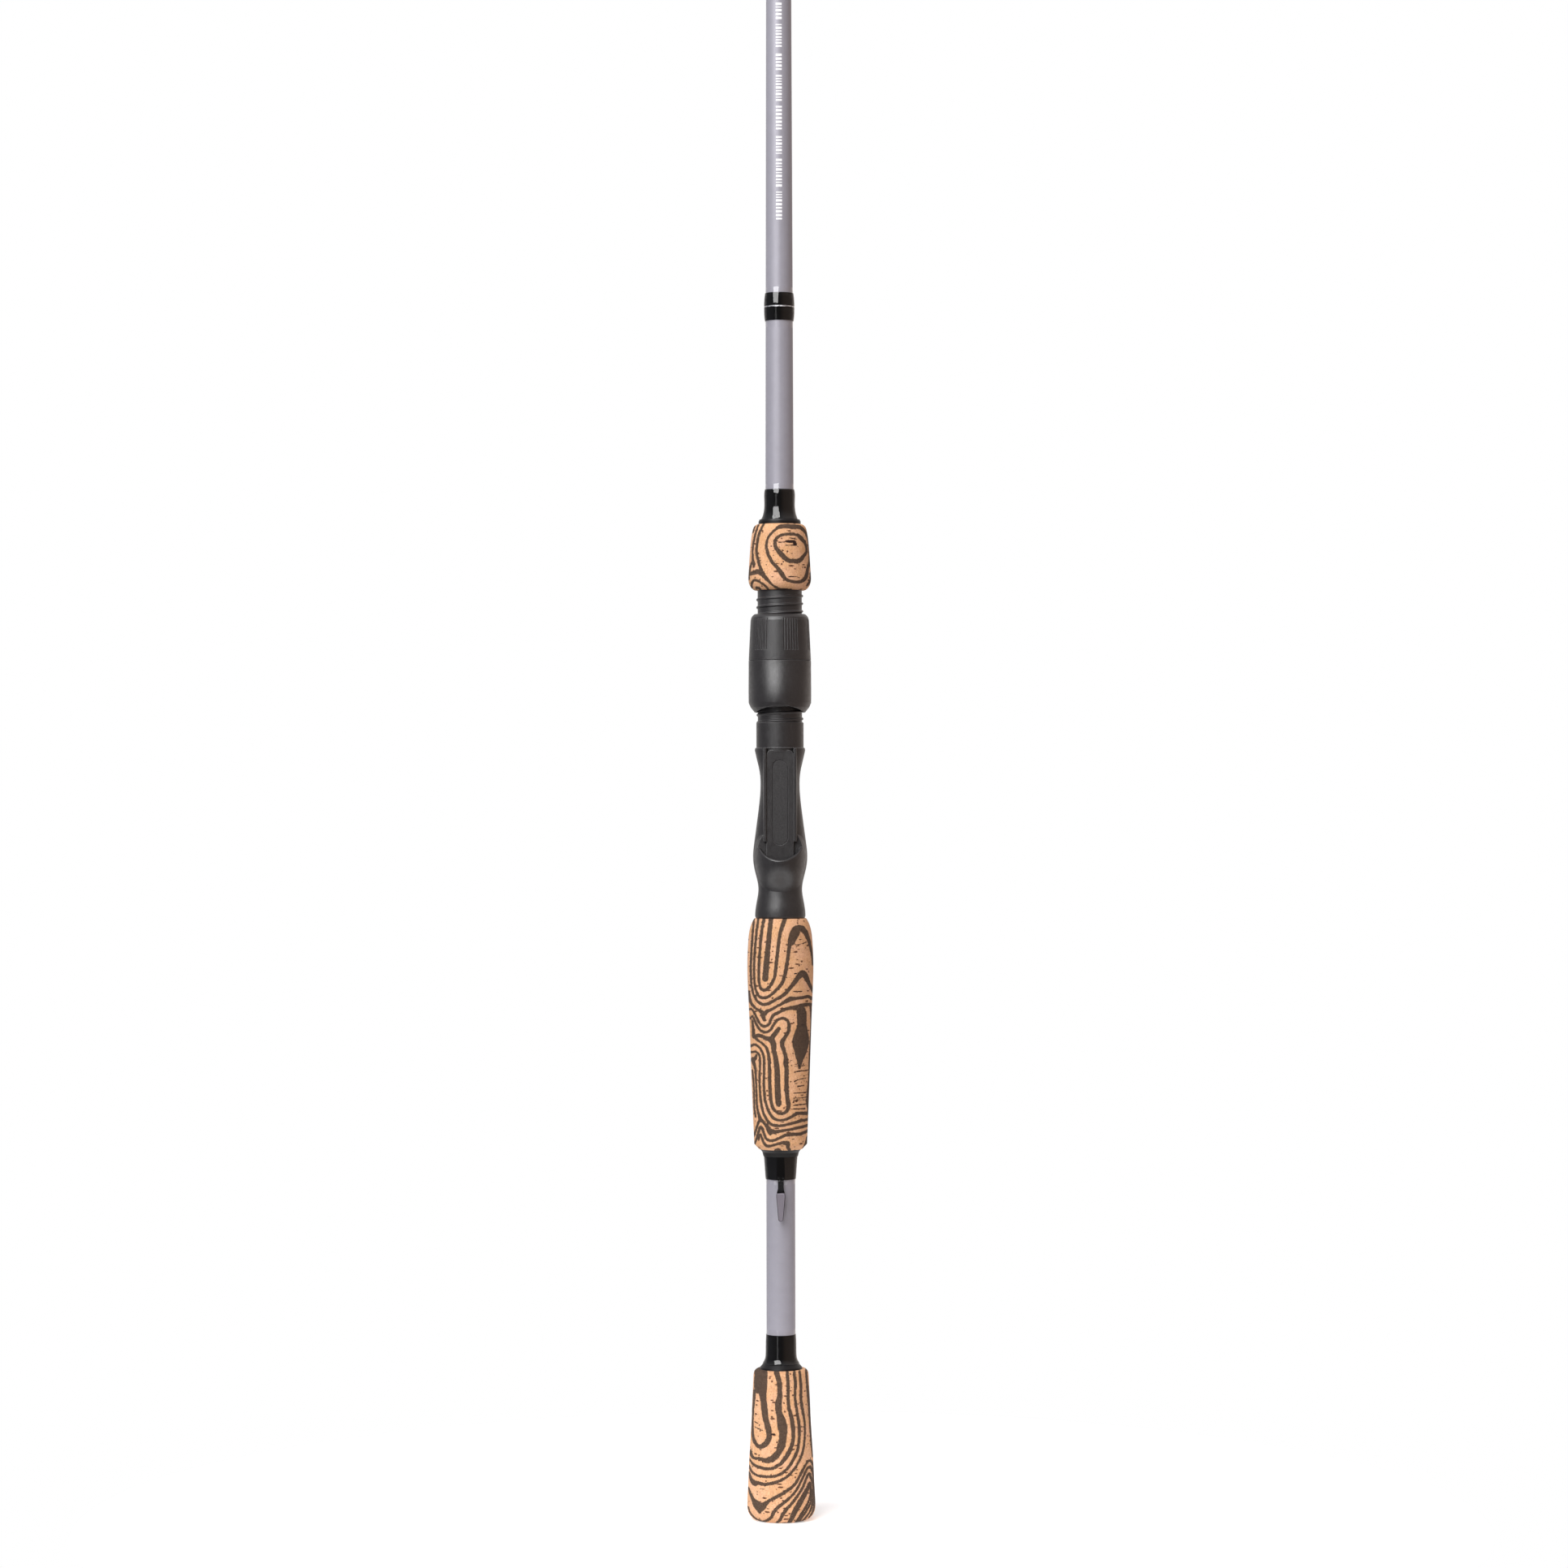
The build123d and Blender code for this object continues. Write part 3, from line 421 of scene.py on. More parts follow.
def lathe(name, radii, heights, segments, material):
    """Smooth surface round Z. Each ring has one radius, or one for each segment."""
    angles = np.linspace(-math.pi, math.pi, segments, endpoint=False)
    ring, turn = np.meshgrid(np.arange(len(radii)), angles, indexing="ij")
    r = np.broadcast_to(np.reshape(radii, (len(radii), -1)), ring.shape)
    z = np.asarray(heights)[ring]
    points = np.stack([r * np.sin(turn), -r * np.cos(turn), z], axis=-1).reshape(-1, 3)
    faces = []
    for low in range(0, (len(radii) - 1) * segments, segments):
        high = low + segments
        for j in range(segments):
            k = (j + 1) % segments
            faces.append((low + j, low + k, high + k, high + j))
    mesh = bpy.data.meshes.new(name)
    mesh.from_pydata(points.tolist(), [], faces)
    mesh.shade_smooth()
    mesh.set_sharp_from_angle(angle=SHARP)
    mesh.materials.append(material)
    return add(name, mesh)


blank_z, blank_r = outline("blank")
tube_z = np.linspace(blank_z[0], blank_z[-1], BLANK_RINGS)
tube_z = np.concatenate([[blank_z[0]], tube_z, [blank_z[-1]]])
tube_r = np.interp(tube_z, blank_z, blank_r)
tube_r[[0, -1]] = BLANK_END
blank_tube = lathe("blank_tube", tube_r, tube_z, BLANK_SEGMENTS, blank_paint())
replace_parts(blank_tube, "blank")
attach(blank_tube, "root")


def blank_radius(z):
    return float(np.interp(z, blank_z, blank_r))


# ---- cork grips --------------------------------------------------------------------------------
# Veins are the dark burl layers. Each is a path of (x, z, breadth) in millimetres, with x across
# the front of the grip and z above its lower end. Scars are lenticels: short open cracks.

BUTT_VEINS = [
    # the drop at the left and the broad dark patch above it
    [(-12, 59, 1), (-12.6, 52, 0.6), (-13, 45, 0.5), (-13, 40, 0.8), (-12.4, 37, 1.2),
     (-11, 35, 1.4), (-9.5, 34.6, 1.6), (-7.6, 35.6, 1.9), (-6, 37.6, 2), (-5.4, 40, 2.1),
     (-5.8, 43, 2.3), (-6.8, 46.5, 2.2), (-7.4, 50, 2.4), (-7.8, 54, 2.4), (-8.4, 58, 3),
     (-9, 62, 5), (-9.2, 68, 5.6)],
    [(-9.6, 64, 5), (-10.4, 61, 3.4), (-10.8, 59.4, 2.2)],
    # loops round the drop, from the inside out
    [(-2, 68, 2), (-0.8, 64, 1.8), (-0.6, 60, 1.8), (-0.7, 57, 2), (-1.2, 54, 2.6), (-0.8, 50, 2.4),
     (0, 47, 3.4), (0.6, 44, 4), (0.9, 41, 3.2), (0.6, 38, 3), (0, 35.4, 3.2), (-1, 33, 2.4),
     (-2.4, 31, 2.4), (-4.4, 29.4, 2.4), (-7, 28.6, 1.8), (-9.6, 29.2, 0.9), (-12, 29, 0.9),
     (-13.4, 29.6, 1.2), (-13.9, 31.6, 0.7)],
    [(2.8, 68, 1), (3.2, 63, 1), (3.2, 58, 1), (3.5, 53, 1.1), (4.4, 49, 1.3), (5.2, 45, 1.4),
     (5.5, 41, 1.3), (5.2, 37, 1.2), (4.2, 34, 1.4), (3, 31.6, 1.6), (0.8, 28.6, 1.4),
     (-1.4, 26.6, 1), (-4, 25.3, 0.9), (-7, 24.9, 1), (-10, 25.3, 0.9), (-12.6, 26, 0.8),
     (-14.2, 27.4, 0.6)],
    [(6, 68, 0.9), (6.5, 63, 0.9), (6.3, 58, 0.7), (6.8, 53, 0.8), (7.6, 48, 0.8), (8.2, 43, 1),
     (8.1, 38, 0.8), (7.6, 34, 0.9), (6, 30, 1), (4, 26.8, 0.9), (1.4, 24, 0.8), (-1.6, 22.2, 0.8),
     (-5, 21.5, 0.7), (-8.4, 21.3, 0.8), (-11.4, 21.6, 0.7), (-13.6, 22.8, 0.7),
     (-14.4, 24.6, 0.5)],
    [(8.4, 68, 0.7), (9, 62, 0.9), (8.9, 57, 0.8), (9.5, 52, 0.9), (10.4, 47, 0.6), (10.8, 42, 0.5),
     (10.5, 36, 0.6), (9.4, 31, 0.7), (7.4, 27, 0.7), (5.2, 24, 0.8), (2.4, 21.4, 0.8),
     (-0.6, 19.8, 0.9), (-4, 18.6, 1), (-7.6, 17.9, 1), (-10.6, 18.1, 1.3), (-12.4, 17.8, 2.2),
     (-13.8, 19.4, 1.2), (-14.5, 21.6, 0.5)],
    [(11.4, 68, 0.5), (12, 60, 0.7), (12.6, 54, 0.8), (13, 47, 0.6), (13.4, 40, 0.6),
     (14.4, 29, 0.5)],
    # the lower family, which rises to a peak at the right
    [(15, 21, 0.4), (14.6, 24.6, 0.4), (13.6, 27, 0.5), (12.6, 27.6, 0.7), (11.4, 26.6, 0.7),
     (9.8, 24, 0.8), (8, 20.8, 0.8), (6, 17.8, 0.9), (3.4, 15.8, 1), (0.6, 14, 1.1),
     (-2.4, 12.4, 1.1), (-5, 11, 1), (-7, 9.4, 1.6), (-9, 7.6, 3.2), (-10.2, 7.4, 3.6),
     (-11.4, 8.6, 3), (-12.8, 10.4, 1.4), (-14, 12.6, 0.9), (-14.8, 14.6, 0.5)],
    [(-10, 6.4, 2.4), (-9.8, 5.2, 1.2)],
    [(12.6, 1.6, 0.5), (14.6, 5, 0.5), (15.3, 10, 0.5), (15.2, 15, 0.5), (14.6, 20.4, 0.5),
     (13.8, 23.6, 0.6), (12.9, 24.8, 0.8), (11.6, 24, 0.7), (10.2, 21.4, 0.7), (8.4, 18, 0.7),
     (6.4, 14.8, 0.8), (4, 12.2, 0.8), (1, 9.8, 1), (-1.6, 7.8, 1.1), (-3.4, 5.6, 1.2),
     (-4.6, 3.2, 1.1), (-6.4, 1.4, 0.9), (-9, 0.6, 0.6), (-12, 1.6, 0.6), (-14, 3.6, 0.5),
     (-15, 6, 0.4)],
    [(9, 0, 0.5), (11.4, 2.6, 0.5), (13.6, 6, 0.6), (14.6, 11, 0.5), (14.5, 16, 0.5),
     (13.6, 19.4, 0.6), (12.7, 21.8, 0.8), (11.4, 20, 0.7), (9.8, 16.4, 0.8), (7.6, 13, 0.8),
     (5.2, 10, 0.9), (2.6, 7.2, 1), (0.6, 4.6, 1.1), (-0.4, 2.2, 1), (-2, 0.4, 0.8)],
    [(12.8, 17.6, 0.8), (11.8, 15.2, 1.4), (10.4, 12.6, 1.9), (8.6, 9.8, 2.1), (7, 7.2, 2.1),
     (5.6, 4.6, 1.9), (4.4, 2, 1.5), (3.4, 0.2, 1.2)],
    [(13.2, 17, 0.7), (13.4, 13, 0.6), (12.2, 9, 0.7), (10, 5.6, 0.8), (8, 2.4, 0.8),
     (6.6, 0.4, 0.7)],
    [(14.1, 14, 0.4), (13.5, 9.4, 0.5), (11.7, 5.8, 0.6), (9.4, 2.6, 0.6), (7.8, 0.2, 0.5)],
]
BUTT_SCARS = [
    [(-12, 45.2, 0.4), (-10.5, 44.8, 0.5)],
    [(-12.2, 43, 0.3), (-8.6, 42, 0.4)],
    [(-4.4, 40.6, 0.5), (-3, 40.4, 1)],
    [(-9.6, 15.6, 0.3), (-7.8, 15.6, 0.3)],
]
REAR_VEINS = [
    # nested loops hanging from the upper end
    [(-4.2, 105.6, 1.6), (-5, 98, 1.7), (-5.8, 90, 2), (-6.4, 84, 2.1), (-6.8, 79, 2.3),
     (-6.8, 78, 2.2)],
    [(-7.3, 105.6, 1), (-8.3, 100, 1), (-9, 94, 0.9), (-9.6, 86, 0.8), (-9.8, 78, 0.8),
     (-9.2, 74.5, 0.8), (-8, 73, 1), (-6.2, 73.4, 1), (-4.2, 75.5, 1), (-2.6, 79, 1),
     (-1.8, 85, 1.1), (-1, 92, 1.1), (-0.2, 98, 1.2), (1, 102, 1.4), (2.3, 105.6, 1.3)],
    [(-9.9, 105.6, 0.7), (-10.8, 99, 0.7), (-11.4, 92, 0.7), (-11.9, 84, 0.6), (-11.8, 77, 0.6),
     (-11, 72.5, 0.7), (-9.6, 70, 0.8), (-7.6, 69.5, 0.9), (-5.4, 70, 0.9), (-3, 72, 0.9),
     (-1, 74, 1.1), (1, 76.6, 1.1), (2.2, 80.5, 1.2), (3.2, 86, 1.1), (4, 92, 1.3), (5, 97, 2),
     (6.2, 100, 2), (8, 101, 2.2), (10, 100.5, 2.2), (11.6, 98.5, 1.8), (12.6, 96, 1.3),
     (13.5, 93, 0.8), (14.3, 89, 0.6), (14.8, 84, 0.5)],
    [(7.6, 99, 2.2), (6.8, 96.5, 1.4), (5.8, 94, 0.8)],
    [(-12, 105, 0.5), (-12.6, 98, 0.6), (-13.1, 91, 0.6), (-13.4, 83, 0.6), (-13.2, 76, 0.6),
     (-12.4, 71.5, 0.6), (-11, 68.4, 0.8), (-9.4, 67, 0.9), (-7.6, 66.4, 1), (-5.4, 66.9, 1),
     (-3.4, 68, 0.9), (-1, 69.4, 0.9), (1.4, 70.8, 1.2), (3.6, 73, 1.2), (5.8, 75.6, 1.4),
     (7.8, 78.3, 1.8), (9.6, 80.2, 2.6), (11, 79.8, 2.2), (12.4, 77, 1.5), (13.8, 74, 0.9),
     (14.8, 71.6, 0.6)],
    # the dark funnel and the wavy band to its right
    [(-14.3, 72, 0.5), (-13.9, 68, 1), (-12.4, 65.6, 0.9), (-10.6, 64.1, 0.8), (-8.6, 63, 1.4),
     (-7.8, 61, 1.5), (-7.3, 59.2, 0.8)],
    [(-9, 63.6, 0.8), (-7.2, 62.2, 1.6), (-6.4, 63.2, 1.2), (-4.4, 64.1, 0.9), (-2, 65.4, 0.8),
     (0.6, 66.8, 0.8), (2.6, 68, 1.5), (4.6, 69, 1.7), (7, 69.2, 1), (10, 69.4, 1), (12.6, 69.8, 1),
     (14.4, 68.4, 0.7)],
    [(-14.2, 63.6, 0.5), (-13.2, 64, 0.5), (-12, 62.6, 0.6), (-10.6, 60, 0.7), (-9.4, 57.8, 0.7),
     (-8, 56.6, 0.8), (-6.6, 56.6, 0.8), (-5.2, 57.6, 0.8), (-4.2, 60, 0.9), (-3.2, 61.6, 1),
     (-1, 62.8, 1), (1.4, 64, 1), (4, 64.8, 1.2), (7, 65.2, 1.3), (9.6, 65.8, 1.4), (12, 66.2, 1.2),
     (14.4, 65.8, 0.8)],
    # the long winding loop
    [(-13.8, 59.6, 0.4), (-12.8, 60.8, 0.5), (-12, 59.6, 0.6), (-10.8, 57, 0.7), (-9.4, 55, 0.7),
     (-7.8, 54, 0.8), (-6.2, 53.9, 0.8), (-4.6, 54.9, 0.8), (-3.2, 57, 0.8), (-2, 58.9, 0.8),
     (-0.4, 60, 0.8), (1.4, 60.2, 0.8), (3, 59.4, 0.9), (3.8, 57.4, 1), (3.8, 55, 1.1),
     (2.6, 52.4, 1.2), (1, 50, 1.6), (0.8, 48, 1.6), (1.6, 45.5, 1.3), (2.4, 42.5, 1.3),
     (2.4, 40, 1.8), (2.8, 37, 1.5), (2.7, 32, 1.5), (2.9, 26, 1.5), (3.4, 22, 1.6),
     (3.6, 19.8, 1.4), (2.6, 18, 1.1), (1, 17, 0.9), (-1.4, 17.4, 0.8), (-3, 18.8, 0.9),
     (-4, 21, 1), (-4.6, 25, 1.1), (-4.9, 31, 1.1), (-5, 37, 1), (-5.2, 42, 1), (-6, 46, 0.9),
     (-7.6, 48.2, 0.7), (-9.6, 49.6, 0.7), (-11.2, 50.8, 0.9), (-12.2, 52, 1.3), (-12.4, 55, 0.9),
     (-12.9, 59, 0.5)],
    # the dark fork inside it
    [(-12, 51.6, 1), (-10, 52.2, 1.2), (-8, 51.8, 1.2), (-6, 51, 1.4), (-4.4, 50.6, 2.4),
     (-3.2, 48.6, 2.2), (-3, 46, 1.6), (-2.2, 42, 1.8), (-1.5, 36, 2), (-1.4, 30, 2.2),
     (-1.2, 25, 2.3), (-0.9, 21.4, 2.2)],
    [(-4, 51.2, 2), (-2.6, 53, 1.6), (-1.4, 54.6, 1.6), (-0.6, 55.6, 1.2)],
    # the broad dark band that ends in a diamond
    [(6, 64.6, 1), (8.8, 64.6, 3), (9.6, 62, 4), (9.7, 58, 3.8), (9.6, 55, 4.6), (9.4, 52, 6.2),
     (9.2, 49.6, 7.2), (9.2, 47, 6.2), (9, 44, 4.4), (8.8, 41.5, 2.6), (8.6, 39, 1.2),
     (8.6, 37.5, 0.6)],
    [(13.6, 66, 0.5), (14.1, 60, 0.5), (13.9, 54, 0.4), (13.6, 48, 0.5), (13.2, 40, 0.5),
     (13, 33, 0.5), (12.5, 27, 0.6), (12.2, 22, 0.8), (12.7, 18, 0.7)],
    # lines that start round the whorl at the left and run level at the lower end
    [(-13.6, 47, 0.7), (-12, 47.9, 0.7), (-10.6, 47.6, 0.7), (-9, 46, 0.7), (-7.8, 43.4, 0.7),
     (-7.4, 40, 0.7), (-7.5, 35, 0.7), (-7.5, 29, 0.7), (-7.1, 23.5, 0.8), (-6, 19.4, 0.8),
     (-4.4, 16.2, 0.9), (-2.4, 14.4, 0.8), (0, 14, 0.7), (2.6, 14.4, 0.8), (5.2, 15.6, 1),
     (7.4, 16.8, 1.2), (9.6, 16.8, 1.1), (12.7, 16.4, 1.1)],
    [(-13.4, 44.2, 0.6), (-11.6, 44.7, 0.6), (-10.2, 44.2, 0.6), (-9.4, 42.4, 0.6), (-9.3, 39, 0.6),
     (-9.5, 34, 0.6), (-9.4, 28, 0.6), (-9, 23, 0.7), (-8.2, 18.5, 0.8), (-6.8, 15, 0.8),
     (-5, 12.6, 0.9), (-2.6, 11.6, 1), (0, 11.5, 0.8), (3, 12, 0.8), (6.5, 12.8, 0.9),
     (9.6, 13.4, 0.9), (12.6, 13.6, 0.9)],
    [(-11, 43.2, 0.6), (-11.4, 41.8, 1.2), (-12.6, 41, 1.4), (-12.2, 39.6, 1.2), (-11.5, 37, 0.8),
     (-11.2, 33, 0.6), (-11, 28, 0.5), (-10.9, 23, 0.5), (-10.6, 19, 0.6), (-9.8, 16, 1),
     (-9, 14, 1.4), (-7.6, 12.6, 0.9), (-6.4, 11, 0.9), (-5.6, 9, 1), (-4.6, 7.6, 0.8)],
    [(-6.2, 11.6, 1), (-4.6, 9, 1.6), (-3, 8.7, 1.6), (-1, 8.9, 1), (2, 9.4, 0.8), (5, 9.8, 0.8),
     (8.6, 10.4, 0.9), (12.6, 10.9, 0.9)],
    [(-12.8, 36, 0.4), (-12.1, 28, 0.4), (-12, 20, 0.4), (-11.4, 15, 0.5)],
    [(-12.2, 6, 0.5), (-11.2, 9, 0.5), (-10.2, 12.4, 0.7), (-9.4, 13.8, 1)],
    [(-11.8, 2.6, 0.5), (-10.6, 6, 0.6), (-9.8, 9, 0.8), (-9, 10.4, 1.2), (-8.2, 9.6, 0.8),
     (-7.4, 7.4, 0.8), (-6.4, 5.4, 0.8), (-4.8, 4.6, 0.8), (-2.6, 4.9, 0.8), (0, 6.2, 0.8),
     (2.6, 7.2, 0.9), (5.6, 7.4, 1.1), (8.8, 7.4, 1.1), (10.8, 7.9, 1), (12.6, 8.4, 0.9)],
    [(-10, 4.6, 0.4), (-9.2, 7.2, 0.5), (-8.6, 5.6, 0.6), (-7.6, 3.4, 0.8), (-6, 2, 0.8),
     (-4, 2.4, 0.7), (-2, 3, 0.7), (0, 3.6, 0.8), (2, 3.6, 1.6), (3.2, 3.2, 1.8), (3.3, 1.6, 1.2),
     (3.9, 0.2, 1)],
    [(-2.4, 0, 0.8), (-1.2, 0.6, 1), (0, 0, 0.6)],
    [(12.2, 5.4, 0.9), (11.6, 2.8, 0.9), (10.4, 0.6, 0.6)],
]
REAR_SCARS = [
    [(6.6, 38.3, 0.3), (11, 38.5, 0.3)],
    [(6.2, 35.6, 0.3), (8, 36, 0.5), (12.4, 36.2, 0.4)],
    [(6.4, 31.4, 0.5), (8, 32.2, 0.4), (12.4, 32.8, 0.3)],
    [(7.8, 29.2, 0.6), (9.8, 29.3, 0.5)],
    [(6, 26.1, 0.4), (12, 26.2, 0.3)],
    [(6, 23.8, 0.4), (12, 23.9, 0.4)],
    [(6, 22.8, 0.4), (11.6, 22.8, 0.3)],
    [(5.8, 20.6, 0.5), (11.4, 20.8, 0.5)],
    [(5.8, 19, 0.5), (11, 18.8, 0.6)],
    [(6, 72.3, 0.4), (9.8, 72.3, 0.5)],
    [(6.4, 93.4, 0.3), (9, 93.6, 0.3), (12, 94.6, 0.4)],
    [(6.4, 80.4, 0.5), (8.6, 80.6, 0.3)],
    [(9.4, 57, 0.3), (12.4, 57.2, 0.3)],
]
FORE_VEINS = [
    # the eye
    [(-2.2, 21.5, 1), (-1.2, 23.2, 0.9), (1, 24.4, 0.8), (4.5, 25, 0.9), (8, 24.6, 0.9),
     (9.8, 23.2, 1.6), (11.6, 21, 0.8), (12.2, 19, 0.7), (12.1, 17, 0.8), (10.6, 14.8, 1.2),
     (8.8, 12.9, 1.7), (6.2, 12.7, 1.5), (3.8, 13, 1.6), (1.6, 14.8, 1.9), (-0.4, 17, 1.6),
     (-1.8, 19, 1.1), (-2.2, 21.5, 1)],
    # the pear round it
    [(-1.6, 27.2, 0.7), (0, 28.2, 1.5), (3, 28.6, 1.6), (6, 28.4, 1.8), (9, 28.4, 1.5), (11, 27, 1),
     (12.6, 24.5, 0.6), (13.3, 21, 0.5), (13.7, 17, 0.5), (13.7, 13, 0.8), (12.8, 10, 0.9),
     (12.3, 7, 1.1), (11.4, 4.8, 1.2), (9.5, 3.5, 1), (7, 3.2, 0.9), (4, 3.8, 1), (2, 5.2, 1.3),
     (0.8, 7, 1.7), (-0.8, 9.3, 1.3), (-3, 11.7, 1), (-4.4, 14, 1), (-5.4, 16.5, 1.1),
     (-6, 19, 0.8), (-5.8, 21.5, 0.7), (-4.8, 24, 0.7), (-3, 26, 0.7), (-1.6, 27.2, 0.7)],
    # lines down the left side
    [(-6.6, 30.6, 0.6), (-8, 28.3, 0.6), (-9.4, 25, 0.7), (-10.2, 21, 0.7), (-10.5, 17, 0.7),
     (-9.7, 13, 0.8), (-8.8, 10, 1), (-7.4, 7, 1.1), (-6, 4.8, 1.1), (-4.2, 2.7, 0.6), (-2, 1, 0.6),
     (0.4, 0, 0.6), (5, -0.4, 0.8)],
    [(-9.6, 29.6, 0.4), (-10.8, 26, 0.5), (-11.8, 22, 0.5), (-12.3, 18, 0.4), (-12.2, 14, 0.6),
     (-11.8, 12, 1), (-11.7, 11, 0.7)],
    [(-12.4, 13, 0.5), (-13.3, 10.5, 0.5), (-13.7, 8, 0.4), (-14, 5, 0.4)],
    # the whorl at the lower left
    [(-13.6, 7.2, 0.9), (-12, 7.6, 1.6), (-10, 8, 1.9), (-8.6, 7.2, 1.5), (-7.2, 5.6, 0.9)],
    [(-12.6, 1.2, 0.5), (-12.7, 2.8, 0.6), (-11.8, 4.2, 0.7), (-10.2, 4, 0.7), (-8, 2.6, 0.6),
     (-6, 1, 0.5), (-5.2, 0, 0.4)],
    [(-10.5, 0.9, 0.7), (-9.4, 0.7, 0.5), (-8.6, 0, 0.3)],
    [(-11.2, 29.3, 0.4), (-12, 26.4, 0.3)],
    [(14.2, 8, 0.5), (13.9, 4.4, 0.5), (12.4, 2, 0.4)],
]
FORE_SCARS = [
    [(2.8, 21.6, 0.8), (4.6, 21.6, 1.2), (6.4, 21.6, 1)],
    [(6.8, 21.2, 1.5), (7, 20.6, 1.6)],
    [(-0.4, 21.2, 0.3), (2.2, 21.2, 0.3)],
    [(2.8, 19.8, 0.3), (7.6, 19.9, 0.4)],
    [(4.4, 23.2, 0.3), (7.8, 22.8, 0.4)],
    [(4, 5.5, 0.4), (7, 5.6, 0.3), (9, 5.2, 0.3)],
]

FAR = 3.0  # millimetres; the cork looks the same from here on


def smooth_path(path):
    """Path with four steps to each stretch, on a curve through its points."""
    points = np.array([path[0], *path, path[-1]], dtype=float)
    steps = []
    for before, start, end, after in zip(points, points[1:], points[2:], points[3:]):
        for t in (0, 0.25, 0.5, 0.75):
            a, b = end - before, after - start
            bend = 2 * start - 2 * end + 0.5 * a + 0.5 * b
            lift = -3 * start + 3 * end - a - 0.5 * b
            steps.append(start + t * 0.5 * a + t * t * lift + t**3 * bend)
    return np.array([*steps, path[-1]])


def clearance(x, z, paths):
    """Distance in millimetres to the nearest edge of any path, less than 0 inside it."""
    least = np.full(x.shape, FAR)
    for path in paths:
        curve = smooth_path(path)
        for start, end in zip(curve, curve[1:]):
            dx, dz = end[0] - start[0], end[1] - start[1]
            along = ((x - start[0]) * dx + (z - start[1]) * dz) / max(dx * dx + dz * dz, 1e-9)
            along = np.clip(along, 0, 1)
            off = np.hypot(x - start[0] - along * dx, z - start[1] - along * dz)
            least = np.minimum(least, off - 0.5 * (start[2] + along * (end[2] - start[2])))
    return least


GRIPS = {
    "butt_grip": (BUTT_VEINS, BUTT_SCARS),
    "rear_grip": (REAR_VEINS, REAR_SCARS),
    "fore_grip": (FORE_VEINS, FORE_SCARS),
}
GRIP_SEGMENTS = 240
GRIP_STEP = 0.00045  # between rings, along the surface
GRIP_OVERLAP = 0.0002  # how far a grip's end reaches into the blank
BUTT_END = 0.0004  # radius that the butt's flat end narrows to

# The layers run through the cork from front to back. Behind the axis they lean and fold, so the
# back has a pattern of its own.
BACK = 14  # millimetres behind the axis, where the fold is full
SWAY, SWAY_LENGTH = 4, 7  # millimetres
FOLD = 0.3  # of the grip's length

cork = cork_paint()
for node, (veins, scars) in GRIPS.items():
    low, high = heights_of(node)
    grip_z, grip_r = outline(node)
    inner = blank_radius(high) - GRIP_OVERLAP
    closed_r = [BUTT_END if node == "butt_grip" else inner, *grip_r, inner]
    closed_z = [low, *grip_z, high]
    run = np.concatenate([[0], np.cumsum(np.hypot(np.diff(closed_r), np.diff(closed_z)))])
    even = np.linspace(0, run[-1], int(run[-1] / GRIP_STEP))
    skin_r, skin_z = np.interp(even, run, closed_r), np.interp(even, run, closed_z)
    skin = lathe(f"{node}_cork", skin_r, skin_z, GRIP_SEGMENTS, cork)
    x, y, z = (np.array([v.co for v in skin.data.vertices]) * TO_MM).T
    behind = np.clip(y / BACK, 0, 1) ** 2
    x = x + behind * SWAY * np.sin(z / SWAY_LENGTH)
    z = np.abs(z - low * TO_MM - behind * FOLD * (high - low) * TO_MM)
    for name, paths in (("vein", veins), ("scar", scars)):
        values = clearance(x, z, paths).astype(np.float32)
        skin.data.attributes.new(name, "FLOAT", "POINT").data.foreach_set("value", values)
    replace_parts(skin, node)
    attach(skin, "root")


# ---- thread and clear epoxy --------------------------------------------------------------------

SLEEVE_SEGMENTS = 72
SMOOTHINGS = 5
OUTSIDE = 0.03  # from the axis, clear of every wrap
UNDERLAP = 0.02 * MM  # how far a sleeve's ends reach into the blank
INSET = 0.08  # millimetres from an epoxy skin in to the thread under it
EDGE, NEXT_EDGE = 0.01 * MM, 0.02 * MM  # a winding's first two rings, in from its end
WINDING_STEP = 0.3 * MM
GUIDE_WRAP_STEP = 0.25 * MM
GAP = 0.5 * MM  # a longer step between heights is bare blank
OUTWARD = 0.05  # the same for the faces of an epoxy skin


def cad_surface(node):
    mesh = nodes[node].data
    return BVHTree.FromPolygons([v.co for v in mesh.vertices], [f.vertices for f in mesh.polygons])


